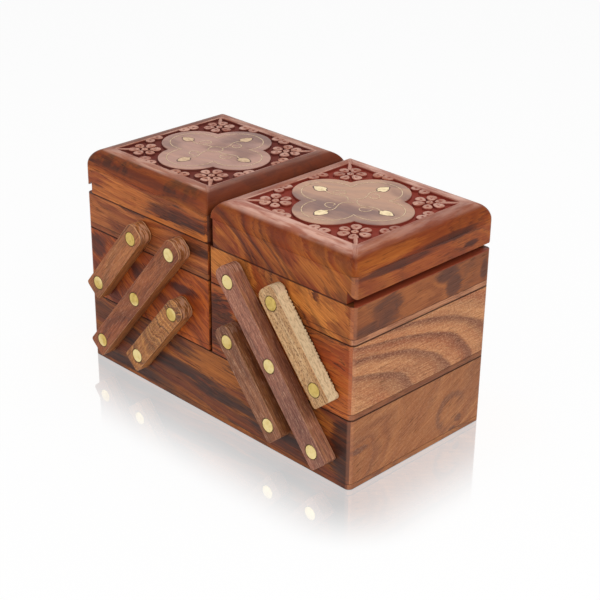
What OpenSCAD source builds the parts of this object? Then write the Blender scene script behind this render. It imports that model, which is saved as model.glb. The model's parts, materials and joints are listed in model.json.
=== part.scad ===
// Cantilever jewellery box in rosewood: one long base, two middle trays and two lidded upper trays.
// Levers on the front and back carry the trays, so that each half swings outwards and lies flat again.
// The origin is at the centre of the underside, +X along the length, +Y to the back and +Z up.
// The right half is drawn, and the left half is its mirror image.

/* [Overall] */
// Length of the closed box
body_l = 203.2; // [180:0.1:260]
// Depth of the boxes, without the levers
body_d = 102; // [90:0.5:130]

/* [Tiers] */
// Height of the base, floor board included
base_h = 39.2; // [34:0.1:50]
// Height of a middle tray, floor board included
middle_h = 40.5; // [34:0.1:50]
// Height of an upper tray, floor board included
upper_h = 20.3; // [19.5:0.1:30]
// Height of a lid, from its lower edge to its top
lid_h = 24.9; // [22:0.1:32]
// Gap at each parting line between two tiers
part_gap = 0.3; // [0.2:0.05:0.8]
// Gap between the two halves
split_gap = 1.8; // [1:0.1:4]
// How far a lid's inner edge stands back from its tray
lid_inset = 0.3; // [0:0.1:1]

/* [Boards] */
// Thickness of the side boards
wall_t = 9; // [8.5:0.1:11]
// Thickness of the floor boards
floor_t = 3; // [2.5:0.1:5]
// Radius of the upright corners
corner_r = 3; // [1.5:0.1:4]
// Thickness of the velvet linings
lining_t = 2; // [1:0.1:3]
// Gap round each lining
lining_gap = 0.5; // [0.3:0.1:1.5]

/* [Lid] */
// Thickness of the lid's top board
top_t = 10; // [8.5:0.1:12]
// Radius that rounds the top board over
round_r = 9.4; // [6:0.1:9.8]
// Depth of the finger groove under the lid's outer end
grip_depth = 5; // [3:0.1:7]
// Height of the finger groove at its mouth
grip_mouth = 3.4; // [2:0.1:5]
// Height of the finger groove at its inner wall
grip_inner = 7; // [5:0.1:9]

/* [Carving] */
// Margin of wood round the carved field
carve_margin = 11.6; // [10:0.1:14]
// Depth of the sunk ground
carve_depth = 1.6; // [1:0.1:2.5]
// Radius of the four lobes of the raised medallion
lobe_r = 18.3; // [14:0.1:19]
// Distance of each lobe's centre from the middle
lobe_reach = 17.2; // [14:0.1:19]
// Distance of the corner flowers from the middle, along each side
flower_reach = 27.3; // [26:0.1:29]
// Petals on each corner flower
flower_petals = 6; // [5:1:7]
// Radius of a petal
petal_r = 2.4; // [1.8:0.1:2.4]
// Distance of the petals from the flower's middle
petal_reach = 5.5; // [5.3:0.1:6]
// Radius of the small buds beside the flowers
bud_r = 2.6; // [2:0.1:2.8]
// Place of the bud nearer the flower, along the side from its middle and in from the side
first_bud = [16, 2]; // [1:0.1:17]
// Place of the other bud, measured in the same way
second_bud = [9.8, 1]; // [0.5:0.1:10]

/* [Brass inlay] */
// Distance from the medallion's edge in to the wire
wire_inset = 4.5; // [3:0.1:6]
// Width of the wire
wire_w = 0.6; // [0.4:0.1:1]
// Length of a brass leaf
leaf_l = 9.4; // [7:0.1:11]
// Width of a brass leaf
leaf_w = 5.8; // [4:0.1:7]
// Distance of the leaves from the middle
leaf_reach = 23; // [22:0.1:24]
// Thickness of the brass let into the wood
inlay_t = 1; // [0.5:0.1:1.5]

/* [Levers] */
// Width of a lever
lever_w = 12.5; // [10:0.1:13]
// Thickness of a lever
lever_t = 8; // [6:0.1:10]
// Gap between a lever and the box behind it
lever_gap = 0.4; // [0.3:0.1:0.8]
// Wood beyond a lever's end pins
lever_end = 8.5; // [7:0.1:8.8]
// Radius of a lever's corners at its upper end
lever_top_r = 4.5; // [2:0.1:5]
// Radius of a lever's corners at its lower end
lever_foot_r = 1.8; // [1:0.1:4]
// Slope of the closed levers, in degrees
lever_lean = 50; // [46:0.5:56]
// Height of the long levers' pins on the base
base_pin_h = 18; // [15:0.1:19]
// Height of the long levers' pins above a middle tray's underside
middle_pin_h = 14.6; // [13:0.1:17]
// Height of the long levers' pins above an upper tray's underside
upper_pin_h = 9.7; // [9:0.1:10]
// Distance of the long levers' lower pins from the end of the box
pin_inset = 18.5; // [16:0.1:22]
// Distance along the box from a long lever to the lower short lever
lower_spread = 31; // [26:0.1:34]
// How much higher the lower short lever's pins are than the long lever's
lower_lift = 1.9; // [-1:0.1:2.5]
// Distance along the box from a long lever to the upper short lever
upper_spread = 31.4; // [26:0.1:33]
// How much lower the upper short lever's pins are than the long lever's
upper_drop = 0.8; // [-1:0.1:1.5]

/* [Pins] */
// Diameter of a pin's brass head
head_d = 7.5; // [6:0.1:8.5]
// Thickness of a pin's head
head_t = 3; // [2:0.1:4]
// Diameter of a pin's shank
shank_d = 4; // [3:0.1:4.5]
// Length of the shank in the board
pin_grip = 6.5; // [4:0.1:7.5]
// Gap all round a pin's head in its lever
head_clear = 0.3; // [0.2:0.05:0.5]
// Running clearance of a lever on its pins, all round
shank_clear = 0.06; // [0.03:0.01:0.09]

/* [Lid hinges] */
// Length of a hinge
hinge_l = 18; // [14:0.5:24]
// Thickness of a leaf
leaf_t = 0.8; // [0.6:0.1:1]
// Width of a leaf, from the back of the box inwards
hinge_w = 7; // [5:0.1:8]
// Radius of the barrel
barrel_r = 1.5; // [1.3:0.05:1.55]
// Gap between the barrel and the back of the box
barrel_gap = 0.2; // [0.15:0.05:0.4]
// Diameter of the hinge pin
hinge_pin_d = 1.2; // [1:0.1:1.4]
// Distance of each hinge's middle from the nearer end of the lid
hinge_inset = 16.2; // [16.2:0.1:30]
// Gap between two knuckles
knuckle_gap = 0.3; // [0.2:0.05:0.5]
// Diameter of a hinge screw's head
screw_head_d = 2.6; // [2:0.1:3]
// Diameter of a hinge screw's shank
screw_d = 1.2; // [1:0.1:1.5]
// Length of a hinge screw
screw_l = 6; // [4:0.5:8]

/* [Hidden] */
$fn = 64;
right = 1;
left = -1;
front = -1;
back = 1;
seat_clear = 0.02;
overcut = 1;

tray_l = (body_l - split_gap) / 2;
tray_x = split_gap / 2 + tray_l / 2;
inner_d = body_d - 2 * wall_t;
middle_z = base_h + part_gap;
upper_z = middle_z + middle_h + part_gap;
lid_z = upper_z + upper_h + part_gap;
rail_h = lid_h - top_t;
top_z = lid_z + rail_h;
lid_l = tray_l - lid_inset;
lid_x = body_l / 2 - lid_l / 2;

// Pin places on the right half, as [x, z]. Each pair of levers and the boxes that it joins make a parallelogram.
base_long = [body_l / 2 - pin_inset, base_pin_h];
stage_1 = middle_z + middle_pin_h - base_pin_h;
stage_2 = upper_z + upper_pin_h - middle_z - middle_pin_h;
span_1 = stage_1 / sin(lever_lean);
span_2 = stage_2 / sin(lever_lean);
step_1 = [-span_1 * cos(lever_lean), stage_1];
step_2 = [-span_2 * cos(lever_lean), stage_2];
middle_long = base_long + step_1;
upper_long = middle_long + step_2;
base_short = base_long + [-lower_spread, lower_lift];
middle_inner = base_short + step_1;
middle_outer = middle_long + [upper_spread, -upper_drop];
upper_short = middle_outer + step_2;
base_points = [base_long, base_short];
middle_points = [middle_long, middle_inner, middle_outer];
upper_points = [upper_long, upper_short];

pin_l = pin_grip + lever_gap + lever_t;
field_w = min(lid_l, body_d) - 2 * carve_margin;
axis_y = body_d / 2 + barrel_gap + barrel_r;
axis_z = lid_z - part_gap / 2;
knuckle_l = (hinge_l - 2 * knuckle_gap) / 3;
screw_head_t = leaf_t / 2;

// Puts the right half's drawing on either half
module on_half(half) {
    mirror([half < 0 ? 1 : 0, 0, 0]) children();
}

// Puts the front face's drawing on either face
module on_face(face) {
    mirror([0, face > 0 ? 1 : 0, 0]) children();
}

// Rectangle with four rounded corners, centred
module rounded_rect(l, w, r) {
    square([l - 2 * r, w], center = true);
    square([l, w - 2 * r], center = true);
    for (sx = [-1, 1], sy = [-1, 1]) {
        translate([sx * (l / 2 - r), sy * (w / 2 - r)]) circle(r);
    }
}

// Front board of a box of length l and height h, mitred at both ends
module long_board(l, h) {
    intersection() {
        linear_extrude(h) rounded_rect(l, body_d, corner_r);
        linear_extrude(h) polygon([
            [-l / 2, -body_d / 2],
            [l / 2, -body_d / 2],
            [l / 2 - wall_t, wall_t - body_d / 2],
            [wall_t - l / 2, wall_t - body_d / 2]
        ]);
    }
}

// Right end board of a box of length l and height h, mitred at both ends
module end_board(l, h) {
    intersection() {
        linear_extrude(h) rounded_rect(l, body_d, corner_r);
        linear_extrude(h) polygon([
            [l / 2, -body_d / 2],
            [l / 2, body_d / 2],
            [l / 2 - wall_t, body_d / 2 - wall_t],
            [l / 2 - wall_t, wall_t - body_d / 2]
        ]);
    }
}

// Blind holes in a front board for the shanks of the pins
module pin_holes(points) {
    for (p = points) {
        translate([p[0], -body_d / 2 - overcut, p[1]])
            rotate([-90, 0, 0]) cylinder(h = pin_grip + overcut, d = shank_d + 2 * seat_clear);
    }
}

// Brass pins with flush heads on the front face
module face_pins(points) {
    for (p = points) {
        translate([p[0], pin_grip - body_d / 2, p[1]]) rotate([90, 0, 0]) {
            cylinder(h = pin_l, d = shank_d);
            translate([0, 0, pin_l - head_t]) cylinder(h = head_t, d = head_d);
        }
    }
}

// Base

module base_board(face) {
    color("sienna") on_face(face) difference() {
        translate([0, 0, floor_t]) long_board(body_l, base_h - floor_t);
        for (half = [left, right]) on_half(half) pin_holes(base_points);
    }
}

module base_end(half) {
    color("peru") on_half(half) translate([0, 0, floor_t]) end_board(body_l, base_h - floor_t);
}

module base_floor() {
    color("saddlebrown") linear_extrude(floor_t) rounded_rect(body_l, body_d, corner_r);
}

module base_lining() {
    color("darkred") translate([0, 0, floor_t]) linear_extrude(lining_t)
        square([body_l - 2 * wall_t - 2 * lining_gap, inner_d - 2 * lining_gap], center = true);
}

module base_pins() {
    color("gold") for (half = [left, right], face = [front, back]) {
        on_half(half) on_face(face) face_pins(base_points);
    }
}

// Trays, each at height z with sides h tall in all

module tray_board(half, face, z, h, points) {
    color("sienna") on_half(half) on_face(face) difference() {
        translate([tray_x, 0, z + floor_t]) long_board(tray_l, h - floor_t);
        pin_holes(points);
    }
}

module tray_inner_end(half, z, h) {
    color("sienna") on_half(half) translate([tray_x, 0, z + floor_t])
        mirror([1, 0, 0]) end_board(tray_l, h - floor_t);
}

module tray_outer_end(half, z, h) {
    color("peru") on_half(half) translate([tray_x, 0, z + floor_t]) end_board(tray_l, h - floor_t);
}

module tray_floor(half, z) {
    color("burlywood") on_half(half) translate([tray_x, 0, z])
        linear_extrude(floor_t) rounded_rect(tray_l, body_d, corner_r);
}

module tray_lining(half, z) {
    color("darkred") on_half(half) translate([tray_x, 0, z + floor_t]) linear_extrude(lining_t)
        square([tray_l - 2 * wall_t - 2 * lining_gap, inner_d - 2 * lining_gap], center = true);
}

module tray_pins(half, points) {
    color("gold") on_half(half) for (face = [front, back]) on_face(face) face_pins(points);
}

// Lid hinges, drawn on the right half

// Places of the two hinges, with X along the barrel and the origin on its axis
module at_hinges() {
    for (side = [-1, 1]) {
        translate([lid_x + side * (lid_l / 2 - hinge_inset), axis_y, axis_z]) children();
    }
}

// Space that a hinge's two leaves take in the boards
module hinge_mortises() {
    at_hinges() translate([0, -barrel_r - barrel_gap, 0]) {
        translate([-hinge_l / 2 - seat_clear, -hinge_w - seat_clear, -part_gap / 2 - leaf_t])
            cube([hinge_l + 2 * seat_clear, hinge_w + seat_clear + overcut, 2 * leaf_t + part_gap]);
    }
}

// Places of the two screws in each leaf, with Z out of the leaf's face
module at_screws() {
    at_hinges() for (side = [-1, 1]) {
        translate([side * hinge_l / 4, -barrel_r - barrel_gap - hinge_w / 2, 0]) children();
    }
}

module screw_holes() {
    at_screws() cylinder(h = 2 * screw_l + 2 * overcut, d = screw_d + 2 * seat_clear, center = true);
}

// One knuckle, from x = start along the barrel
module knuckle(start, bore_clear) {
    translate([start, 0, 0]) rotate([0, 90, 0]) difference() {
        cylinder(h = knuckle_l, r = barrel_r);
        translate([0, 0, -overcut])
            cylinder(h = knuckle_l + 2 * overcut, d = hinge_pin_d + 2 * bore_clear);
    }
}

// Part of a leaf that runs from the board to the knuckle, from x = start
module leaf_neck(start, bore_clear) {
    difference() {
        translate([start, -barrel_r - barrel_gap, part_gap / 2])
            cube([knuckle_l, barrel_r + barrel_gap, leaf_t]);
        rotate([0, 90, 0]) cylinder(h = 2 * hinge_l, d = hinge_pin_d + 2 * bore_clear, center = true);
    }
}

// Leaf with its face at the parting line, seen for the lid. Knuckles start at the x values given.
module hinge_leaf(starts, bore_clear) {
    difference() {
        translate([-hinge_l / 2, -barrel_r - barrel_gap - hinge_w, part_gap / 2])
            cube([hinge_l, hinge_w, leaf_t]);
        for (side = [-1, 1]) {
            translate([side * hinge_l / 4, -barrel_r - barrel_gap - hinge_w / 2, part_gap / 2]) {
                translate([0, 0, -overcut]) cylinder(h = leaf_t + 2 * overcut, d = screw_d + 2 * seat_clear);
                translate([0, 0, -overcut])
                    cylinder(h = screw_head_t + seat_clear + overcut, d = screw_head_d + 2 * seat_clear);
            }
        }
    }
    for (start = starts) {
        knuckle(start, bore_clear);
        leaf_neck(start, bore_clear);
    }
}

// Two screws of a leaf, heads down
module leaf_screws() {
    for (side = [-1, 1]) {
        translate([side * hinge_l / 4, -barrel_r - barrel_gap - hinge_w / 2, part_gap / 2]) {
            cylinder(h = screw_head_t, d = screw_head_d);
            cylinder(h = screw_l, d = screw_d);
        }
    }
}

module upper_hinges(half) {
    color("goldenrod") on_half(half) at_hinges() {
        mirror([0, 0, 1]) {
            hinge_leaf([-hinge_l / 2, hinge_l / 2 - knuckle_l], seat_clear);
            leaf_screws();
        }
        rotate([0, 90, 0]) cylinder(h = hinge_l, d = hinge_pin_d, center = true);
    }
}

module lid_hinges(half) {
    color("goldenrod") on_half(half) at_hinges() {
        hinge_leaf([-knuckle_l / 2], shank_clear);
        leaf_screws();
    }
}

module upper_back_board(half) {
    color("sienna") difference() {
        tray_board(half, back, upper_z, upper_h, upper_points);
        on_half(half) hinge_mortises();
        on_half(half) screw_holes();
    }
}

// Lids

// Finger groove along the whole outer end, undercut
module finger_groove() {
    slope = (grip_inner - grip_mouth) / grip_depth;
    rotate([90, 0, 0]) linear_extrude(body_d + 2 * overcut, center = true) polygon([
        [body_l / 2 - grip_depth, lid_z - overcut],
        [body_l / 2 + overcut, lid_z - overcut],
        [body_l / 2 + overcut, lid_z + grip_mouth - slope * overcut],
        [body_l / 2 - grip_depth, lid_z + grip_inner]
    ]);
}

module lid_long_rails(half) {
    color("chocolate") on_half(half) difference() {
        for (face = [front, back]) on_face(face) translate([lid_x, 0, lid_z]) long_board(lid_l, rail_h);
        finger_groove();
        hinge_mortises();
        screw_holes();
    }
}

module lid_end_rails(half) {
    color("chocolate") on_half(half) difference() {
        translate([lid_x, 0, lid_z]) {
            end_board(lid_l, rail_h);
            mirror([1, 0, 0]) end_board(lid_l, rail_h);
        }
        finger_groove();
    }
}

// Section of the top board across a width w, with both upper corners rounded over
module top_section(w) {
    translate([-w / 2, 0]) square([w, top_t - round_r]);
    translate([round_r - w / 2, 0]) square([w - 2 * round_r, top_t]);
    for (side = [-1, 1]) translate([side * (w / 2 - round_r), 0]) intersection() {
        translate([0, top_t - round_r]) circle(round_r);
        translate([-round_r, 0]) square([2 * round_r, top_t]);
    }
}

module top_blank() {
    intersection() {
        linear_extrude(top_t) rounded_rect(lid_l, body_d, corner_r);
        rotate([90, 0, 0]) linear_extrude(body_d + 2 * overcut, center = true) top_section(lid_l);
        rotate([90, 0, 90]) linear_extrude(lid_l + 2 * overcut, center = true) top_section(body_d);
    }
}

// Medallion with four lobes, drawn in by inset
module quatrefoil(inset) {
    for (turn = [0:90:270]) rotate(turn) translate([lobe_reach, 0]) circle(lobe_r - inset);
    square(2 * (lobe_r - inset) * 0.9, center = true);
}

// Corner flower with its stem to the corner and two buds along each side
module corner_flower() {
    translate([flower_reach, flower_reach]) {
        circle(petal_reach - petal_r / 2);
        for (i = [0:flower_petals - 1]) rotate(45 + i * 360 / flower_petals)
            translate([petal_reach, 0]) circle(petal_r);
        rotate(45) translate([0, -petal_r / 2]) square([field_w / sqrt(2), petal_r]);
    }
    for (flip = [0, 1]) mirror([flip, -flip]) {
        for (bud = [first_bud, second_bud]) translate([bud[0], field_w / 2 - bud[1]]) circle(bud_r);
    }
}

module carved_ground() {
    difference() {
        square(field_w, center = true);
        quatrefoil(0);
        for (turn = [0:90:270]) rotate(turn) corner_flower();
    }
}

module wire_line(clear) {
    difference() {
        quatrefoil(wire_inset - clear);
        quatrefoil(wire_inset + wire_w + clear);
    }
}

// Four pointed leaves, one in each lobe
module leaf_shapes(clear) {
    arc_r = (leaf_l * leaf_l + leaf_w * leaf_w) / (4 * leaf_w);
    for (turn = [0:90:270]) rotate(turn) translate([leaf_reach, 0]) intersection() {
        translate([0, arc_r - leaf_w / 2]) circle(arc_r + clear);
        translate([0, leaf_w / 2 - arc_r]) circle(arc_r + clear);
    }
}

module lid_top(half) {
    color("rosybrown") on_half(half) translate([lid_x, 0, top_z]) difference() {
        top_blank();
        translate([0, 0, top_t - carve_depth]) linear_extrude(carve_depth + overcut) carved_ground();
        translate([0, 0, top_t - inlay_t]) linear_extrude(inlay_t + overcut) wire_line(seat_clear);
        translate([0, 0, top_t - inlay_t]) linear_extrude(inlay_t + overcut) leaf_shapes(seat_clear);
    }
}

module lid_inlay(half) {
    color("gold") on_half(half) translate([lid_x, 0, top_z + top_t - inlay_t]) {
        linear_extrude(inlay_t) wire_line(0);
        linear_extrude(inlay_t) leaf_shapes(0);
    }
}

// Levers

// Bar from x = 0 to l with rounded corners, smaller at x = 0
module lever_outline(l) {
    translate([lever_foot_r, -lever_w / 2]) square([l - lever_foot_r - lever_top_r, lever_w]);
    translate([0, lever_foot_r - lever_w / 2]) square([l / 2, lever_w - 2 * lever_foot_r]);
    translate([l / 2, lever_top_r - lever_w / 2]) square([l / 2, lever_w - 2 * lever_top_r]);
    for (side = [-1, 1]) {
        translate([lever_foot_r, side * (lever_w / 2 - lever_foot_r)]) circle(lever_foot_r);
        translate([l - lever_top_r, side * (lever_w / 2 - lever_top_r)]) circle(lever_top_r);
    }
}

// Lever on a front face that starts at the pin at p and has a pin at each of the distances in stops
module lever(half, face, p, stops) {
    last = stops[len(stops) - 1];
    color("rosybrown") on_half(half) on_face(face)
        translate([p[0], -body_d / 2 - lever_gap, p[1]])
        rotate([90, 0, 0]) rotate([0, 0, 180 - lever_lean]) difference() {
            translate([-lever_end, 0, 0]) linear_extrude(lever_t) lever_outline(last + 2 * lever_end);
            for (s = stops) translate([s, 0, 0]) {
                translate([0, 0, -overcut])
                    cylinder(h = lever_t + 2 * overcut, d = shank_d + 2 * shank_clear);
                translate([0, 0, lever_t - head_t - shank_clear])
                    cylinder(h = head_t + overcut, d = head_d + 2 * head_clear);
            }
        }
}

module long_lever(half, face) {
    lever(half, face, base_long, [0, span_1, span_1 + span_2]);
}

module lower_lever(half, face) {
    lever(half, face, base_short, [0, span_1]);
}

module upper_lever(half, face) {
    lever(half, face, middle_outer, [0, span_2]);
}

base_board(front);  // base_front
base_board(back);  // base_back
base_end(left);  // base_left_end
base_end(right);  // base_right_end
base_floor();
base_lining();
base_pins();
tray_board(right, front, middle_z, middle_h, middle_points);  // right_middle_front
tray_board(right, back, middle_z, middle_h, middle_points);  // right_middle_back
tray_inner_end(right, middle_z, middle_h);  // right_middle_inner_end
tray_outer_end(right, middle_z, middle_h);  // right_middle_outer_end
tray_floor(right, middle_z);  // right_middle_floor
tray_lining(right, middle_z);  // right_middle_lining
tray_pins(right, middle_points);  // right_middle_pins
tray_board(left, front, middle_z, middle_h, middle_points);  // left_middle_front
tray_board(left, back, middle_z, middle_h, middle_points);  // left_middle_back
tray_inner_end(left, middle_z, middle_h);  // left_middle_inner_end
tray_outer_end(left, middle_z, middle_h);  // left_middle_outer_end
tray_floor(left, middle_z);  // left_middle_floor
tray_lining(left, middle_z);  // left_middle_lining
tray_pins(left, middle_points);  // left_middle_pins
tray_board(right, front, upper_z, upper_h, upper_points);  // right_upper_front
upper_back_board(right);  // right_upper_back
tray_inner_end(right, upper_z, upper_h);  // right_upper_inner_end
tray_outer_end(right, upper_z, upper_h);  // right_upper_outer_end
tray_floor(right, upper_z);  // right_upper_floor
tray_lining(right, upper_z);  // right_upper_lining
tray_pins(right, upper_points);  // right_upper_pins
upper_hinges(right);  // right_upper_hinges
tray_board(left, front, upper_z, upper_h, upper_points);  // left_upper_front
upper_back_board(left);  // left_upper_back
tray_inner_end(left, upper_z, upper_h);  // left_upper_inner_end
tray_outer_end(left, upper_z, upper_h);  // left_upper_outer_end
tray_floor(left, upper_z);  // left_upper_floor
tray_lining(left, upper_z);  // left_upper_lining
tray_pins(left, upper_points);  // left_upper_pins
upper_hinges(left);  // left_upper_hinges
lid_long_rails(right);  // right_lid_long_rails
lid_end_rails(right);  // right_lid_end_rails
lid_top(right);  // right_lid_top
lid_inlay(right);  // right_lid_inlay
lid_hinges(right);  // right_lid_hinges
lid_long_rails(left);  // left_lid_long_rails
lid_end_rails(left);  // left_lid_end_rails
lid_top(left);  // left_lid_top
lid_inlay(left);  // left_lid_inlay
lid_hinges(left);  // left_lid_hinges
long_lever(right, front);  // right_front_long_lever
long_lever(right, back);  // right_back_long_lever
lower_lever(right, front);  // right_front_lower_lever
lower_lever(right, back);  // right_back_lower_lever
upper_lever(right, front);  // right_front_upper_lever
upper_lever(right, back);  // right_back_upper_lever
long_lever(left, front);  // left_front_long_lever
long_lever(left, back);  // left_back_long_lever
lower_lever(left, front);  // left_front_lower_lever
lower_lever(left, back);  // left_back_lower_lever
upper_lever(left, front);  // left_front_upper_lever
upper_lever(left, back);  // left_back_upper_lever
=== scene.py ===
# %% [markdown]
# # A rosewood jewellery box that swings open
# A solid model of the box already exists, with every board, lever and pin as a piece of its own. This
# notebook dresses it: it eases the edges, carves the lids, lets in the brass, and gives each board its own
# cut of wood. The first cell loads the solids. They come in metres, with the centre of the underside at the
# origin. The sizes written below are in millimetres, and MM turns them into metres.

import json
import math
from functools import partialmethod

import bmesh
import bpy
import numpy as np
from mathutils import Matrix, Vector


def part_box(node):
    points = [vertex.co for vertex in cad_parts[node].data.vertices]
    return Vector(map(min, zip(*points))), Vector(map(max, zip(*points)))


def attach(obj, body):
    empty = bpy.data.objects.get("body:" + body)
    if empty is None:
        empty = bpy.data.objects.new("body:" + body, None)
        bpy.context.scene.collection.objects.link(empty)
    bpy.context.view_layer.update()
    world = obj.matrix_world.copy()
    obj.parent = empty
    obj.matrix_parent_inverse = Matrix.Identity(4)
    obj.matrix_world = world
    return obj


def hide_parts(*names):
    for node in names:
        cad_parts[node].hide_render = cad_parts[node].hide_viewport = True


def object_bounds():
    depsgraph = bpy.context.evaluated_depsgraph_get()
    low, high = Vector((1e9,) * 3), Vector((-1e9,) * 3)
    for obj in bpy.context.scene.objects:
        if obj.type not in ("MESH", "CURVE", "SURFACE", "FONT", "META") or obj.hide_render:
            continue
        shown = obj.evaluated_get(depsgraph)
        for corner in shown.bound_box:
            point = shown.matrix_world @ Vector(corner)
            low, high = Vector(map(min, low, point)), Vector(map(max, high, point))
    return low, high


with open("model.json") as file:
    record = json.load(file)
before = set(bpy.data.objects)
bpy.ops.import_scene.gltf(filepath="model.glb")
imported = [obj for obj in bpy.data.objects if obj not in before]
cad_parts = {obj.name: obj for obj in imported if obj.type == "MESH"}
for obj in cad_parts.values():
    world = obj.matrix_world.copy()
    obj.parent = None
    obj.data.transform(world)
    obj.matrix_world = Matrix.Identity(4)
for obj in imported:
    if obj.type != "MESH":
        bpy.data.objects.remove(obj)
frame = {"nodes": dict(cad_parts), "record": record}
cad_low, cad_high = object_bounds()
MM = 0.001
ALONG_X, ALONG_Y, UP = (1, 0, 0), (0, 1, 0), (0, 0, 1)
SIDES = {"right": 1, "left": -1}
BOXES = ["base", *(f"{half}_{tier}" for half in SIDES for tier in ("middle", "upper"))]
BODY_OF = {node: body for body, nodes in frame["record"]["behaviour"]["bodies"].items() for node in nodes}


def box_in_mm(node):
    """The low corner, the high corner and the middle of the box round a solid."""
    low, high = (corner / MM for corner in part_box(node))
    return low, high, (low + high) / 2


def in_scene(thing):
    """Puts a new object into the scene."""
    bpy.context.scene.collection.objects.link(thing)
    return thing


print("solids:", len(frame["nodes"]), "size in mm:", [round(x / MM, 1) for x in cad_high - cad_low])

# %% [markdown]
# ## The camera
# A perspective camera can be matched to a photograph by its edges: where the corners of a box of known
# shape fall in the picture gives the place, the aim and the lens. The values below came out of such a
# match. The camera stands to the right of the front and looks down by about 26 degrees, and it is tilted by
# less than a degree.

# %% Camera
CAMERA_PLACE = Vector((511.308, -498.433, 397.388)) * MM
CAMERA_AZIMUTH, CAMERA_HEIGHT, CAMERA_ROLL = (math.radians(x) for x in (44.87, 25.769, 0.731))
CAMERA_LENS, CAMERA_SENSOR = 87.243, 36

back = Vector((
    math.sin(CAMERA_AZIMUTH) * math.cos(CAMERA_HEIGHT),
    -math.cos(CAMERA_AZIMUTH) * math.cos(CAMERA_HEIGHT),
    math.sin(CAMERA_HEIGHT),
))
across = Vector((math.cos(CAMERA_AZIMUTH), math.sin(CAMERA_AZIMUTH), 0))
turned = Matrix((across, back.cross(across), back)).transposed() @ Matrix.Rotation(CAMERA_ROLL, 3, "Z")
camera = in_scene(bpy.data.objects.new("camera", bpy.data.cameras.new("camera")))
camera.matrix_world = Matrix.Translation(CAMERA_PLACE) @ turned.to_4x4()
camera.data.lens, camera.data.sensor_width = CAMERA_LENS, CAMERA_SENSOR
bpy.context.scene.camera = camera
print("camera is", round(CAMERA_PLACE.length / MM), "mm from the box")

# %% [markdown]
# ## Writing materials as formulas
# Wood is hard to paint but easy to describe with sums: a log has rings, rings are noise along a radius, and
# pores are short dashes along the grain. Building such sums by hand in the shader editor takes dozens of
# nodes. So a small class wraps a socket, and each plus or times on it adds a Math node. Other nodes come
# from one method.


# %% Sockets that can be added and multiplied
def paint(code):
    """A colour written as six hex digits, turned into the light values that Blender mixes."""
    parts = [int(code[i:i + 2], 16) / 255 for i in (0, 2, 4)]
    return (*[p / 12.92 if p <= 0.04045 else ((p + 0.055) / 1.055) ** 2.4 for p in parts], 1)


def connect(tree, socket, value):
    """Links a value to a socket, or writes a constant on it. A colour can be six hex digits."""
    if isinstance(value, Value):
        tree.links.new(value.socket, socket)
    elif isinstance(value, str) and socket.type == "RGBA":
        socket.default_value = paint(value)
    else:
        socket.default_value = value


class Value:
    """A number or a colour that changes over a surface."""

    def __init__(self, tree, socket):
        self.tree, self.socket = tree, socket

    def join(self, operation, other=0.0, turned=False):
        """Joins the value and another one by a Math node, the other way round if turned."""
        node = self.tree.nodes.new("ShaderNodeMath")
        node.operation = operation
        for socket, term in zip(node.inputs, (other, self) if turned else (self, other)):
            connect(self.tree, socket, term)
        return Value(self.tree, node.outputs[0])

    __add__ = __radd__ = partialmethod(join, "ADD")
    __mul__ = __rmul__ = partialmethod(join, "MULTIPLY")
    __sub__ = partialmethod(join, "SUBTRACT")
    __rsub__ = partialmethod(join, "SUBTRACT", turned=True)
    __pow__ = partialmethod(join, "POWER")
    size = partialmethod(join, "ABSOLUTE")
    most = partialmethod(join, "MAXIMUM")
    least = partialmethod(join, "MINIMUM")


def diagonal(across, up):
    """The straight distance, from the distances in two directions."""
    return (across * across + up * up) ** 0.5


print("one red-brown as light values:", [round(x, 3) for x in paint("A0552C")])


# %% Materials made node by node
class Nodes:
    """A node tree in which one method makes any node."""

    def __init__(self, tree):
        self.tree = tree

    def add(self, kind, sockets=(), output=0, **settings):
        node = self.tree.nodes.new(kind)
        for key, value in settings.items():
            setattr(node, key, value)
        for key, value in dict(sockets).items():
            connect(self.tree, node.inputs[key], value)
        return Value(self.tree, node.outputs[output])


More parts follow.
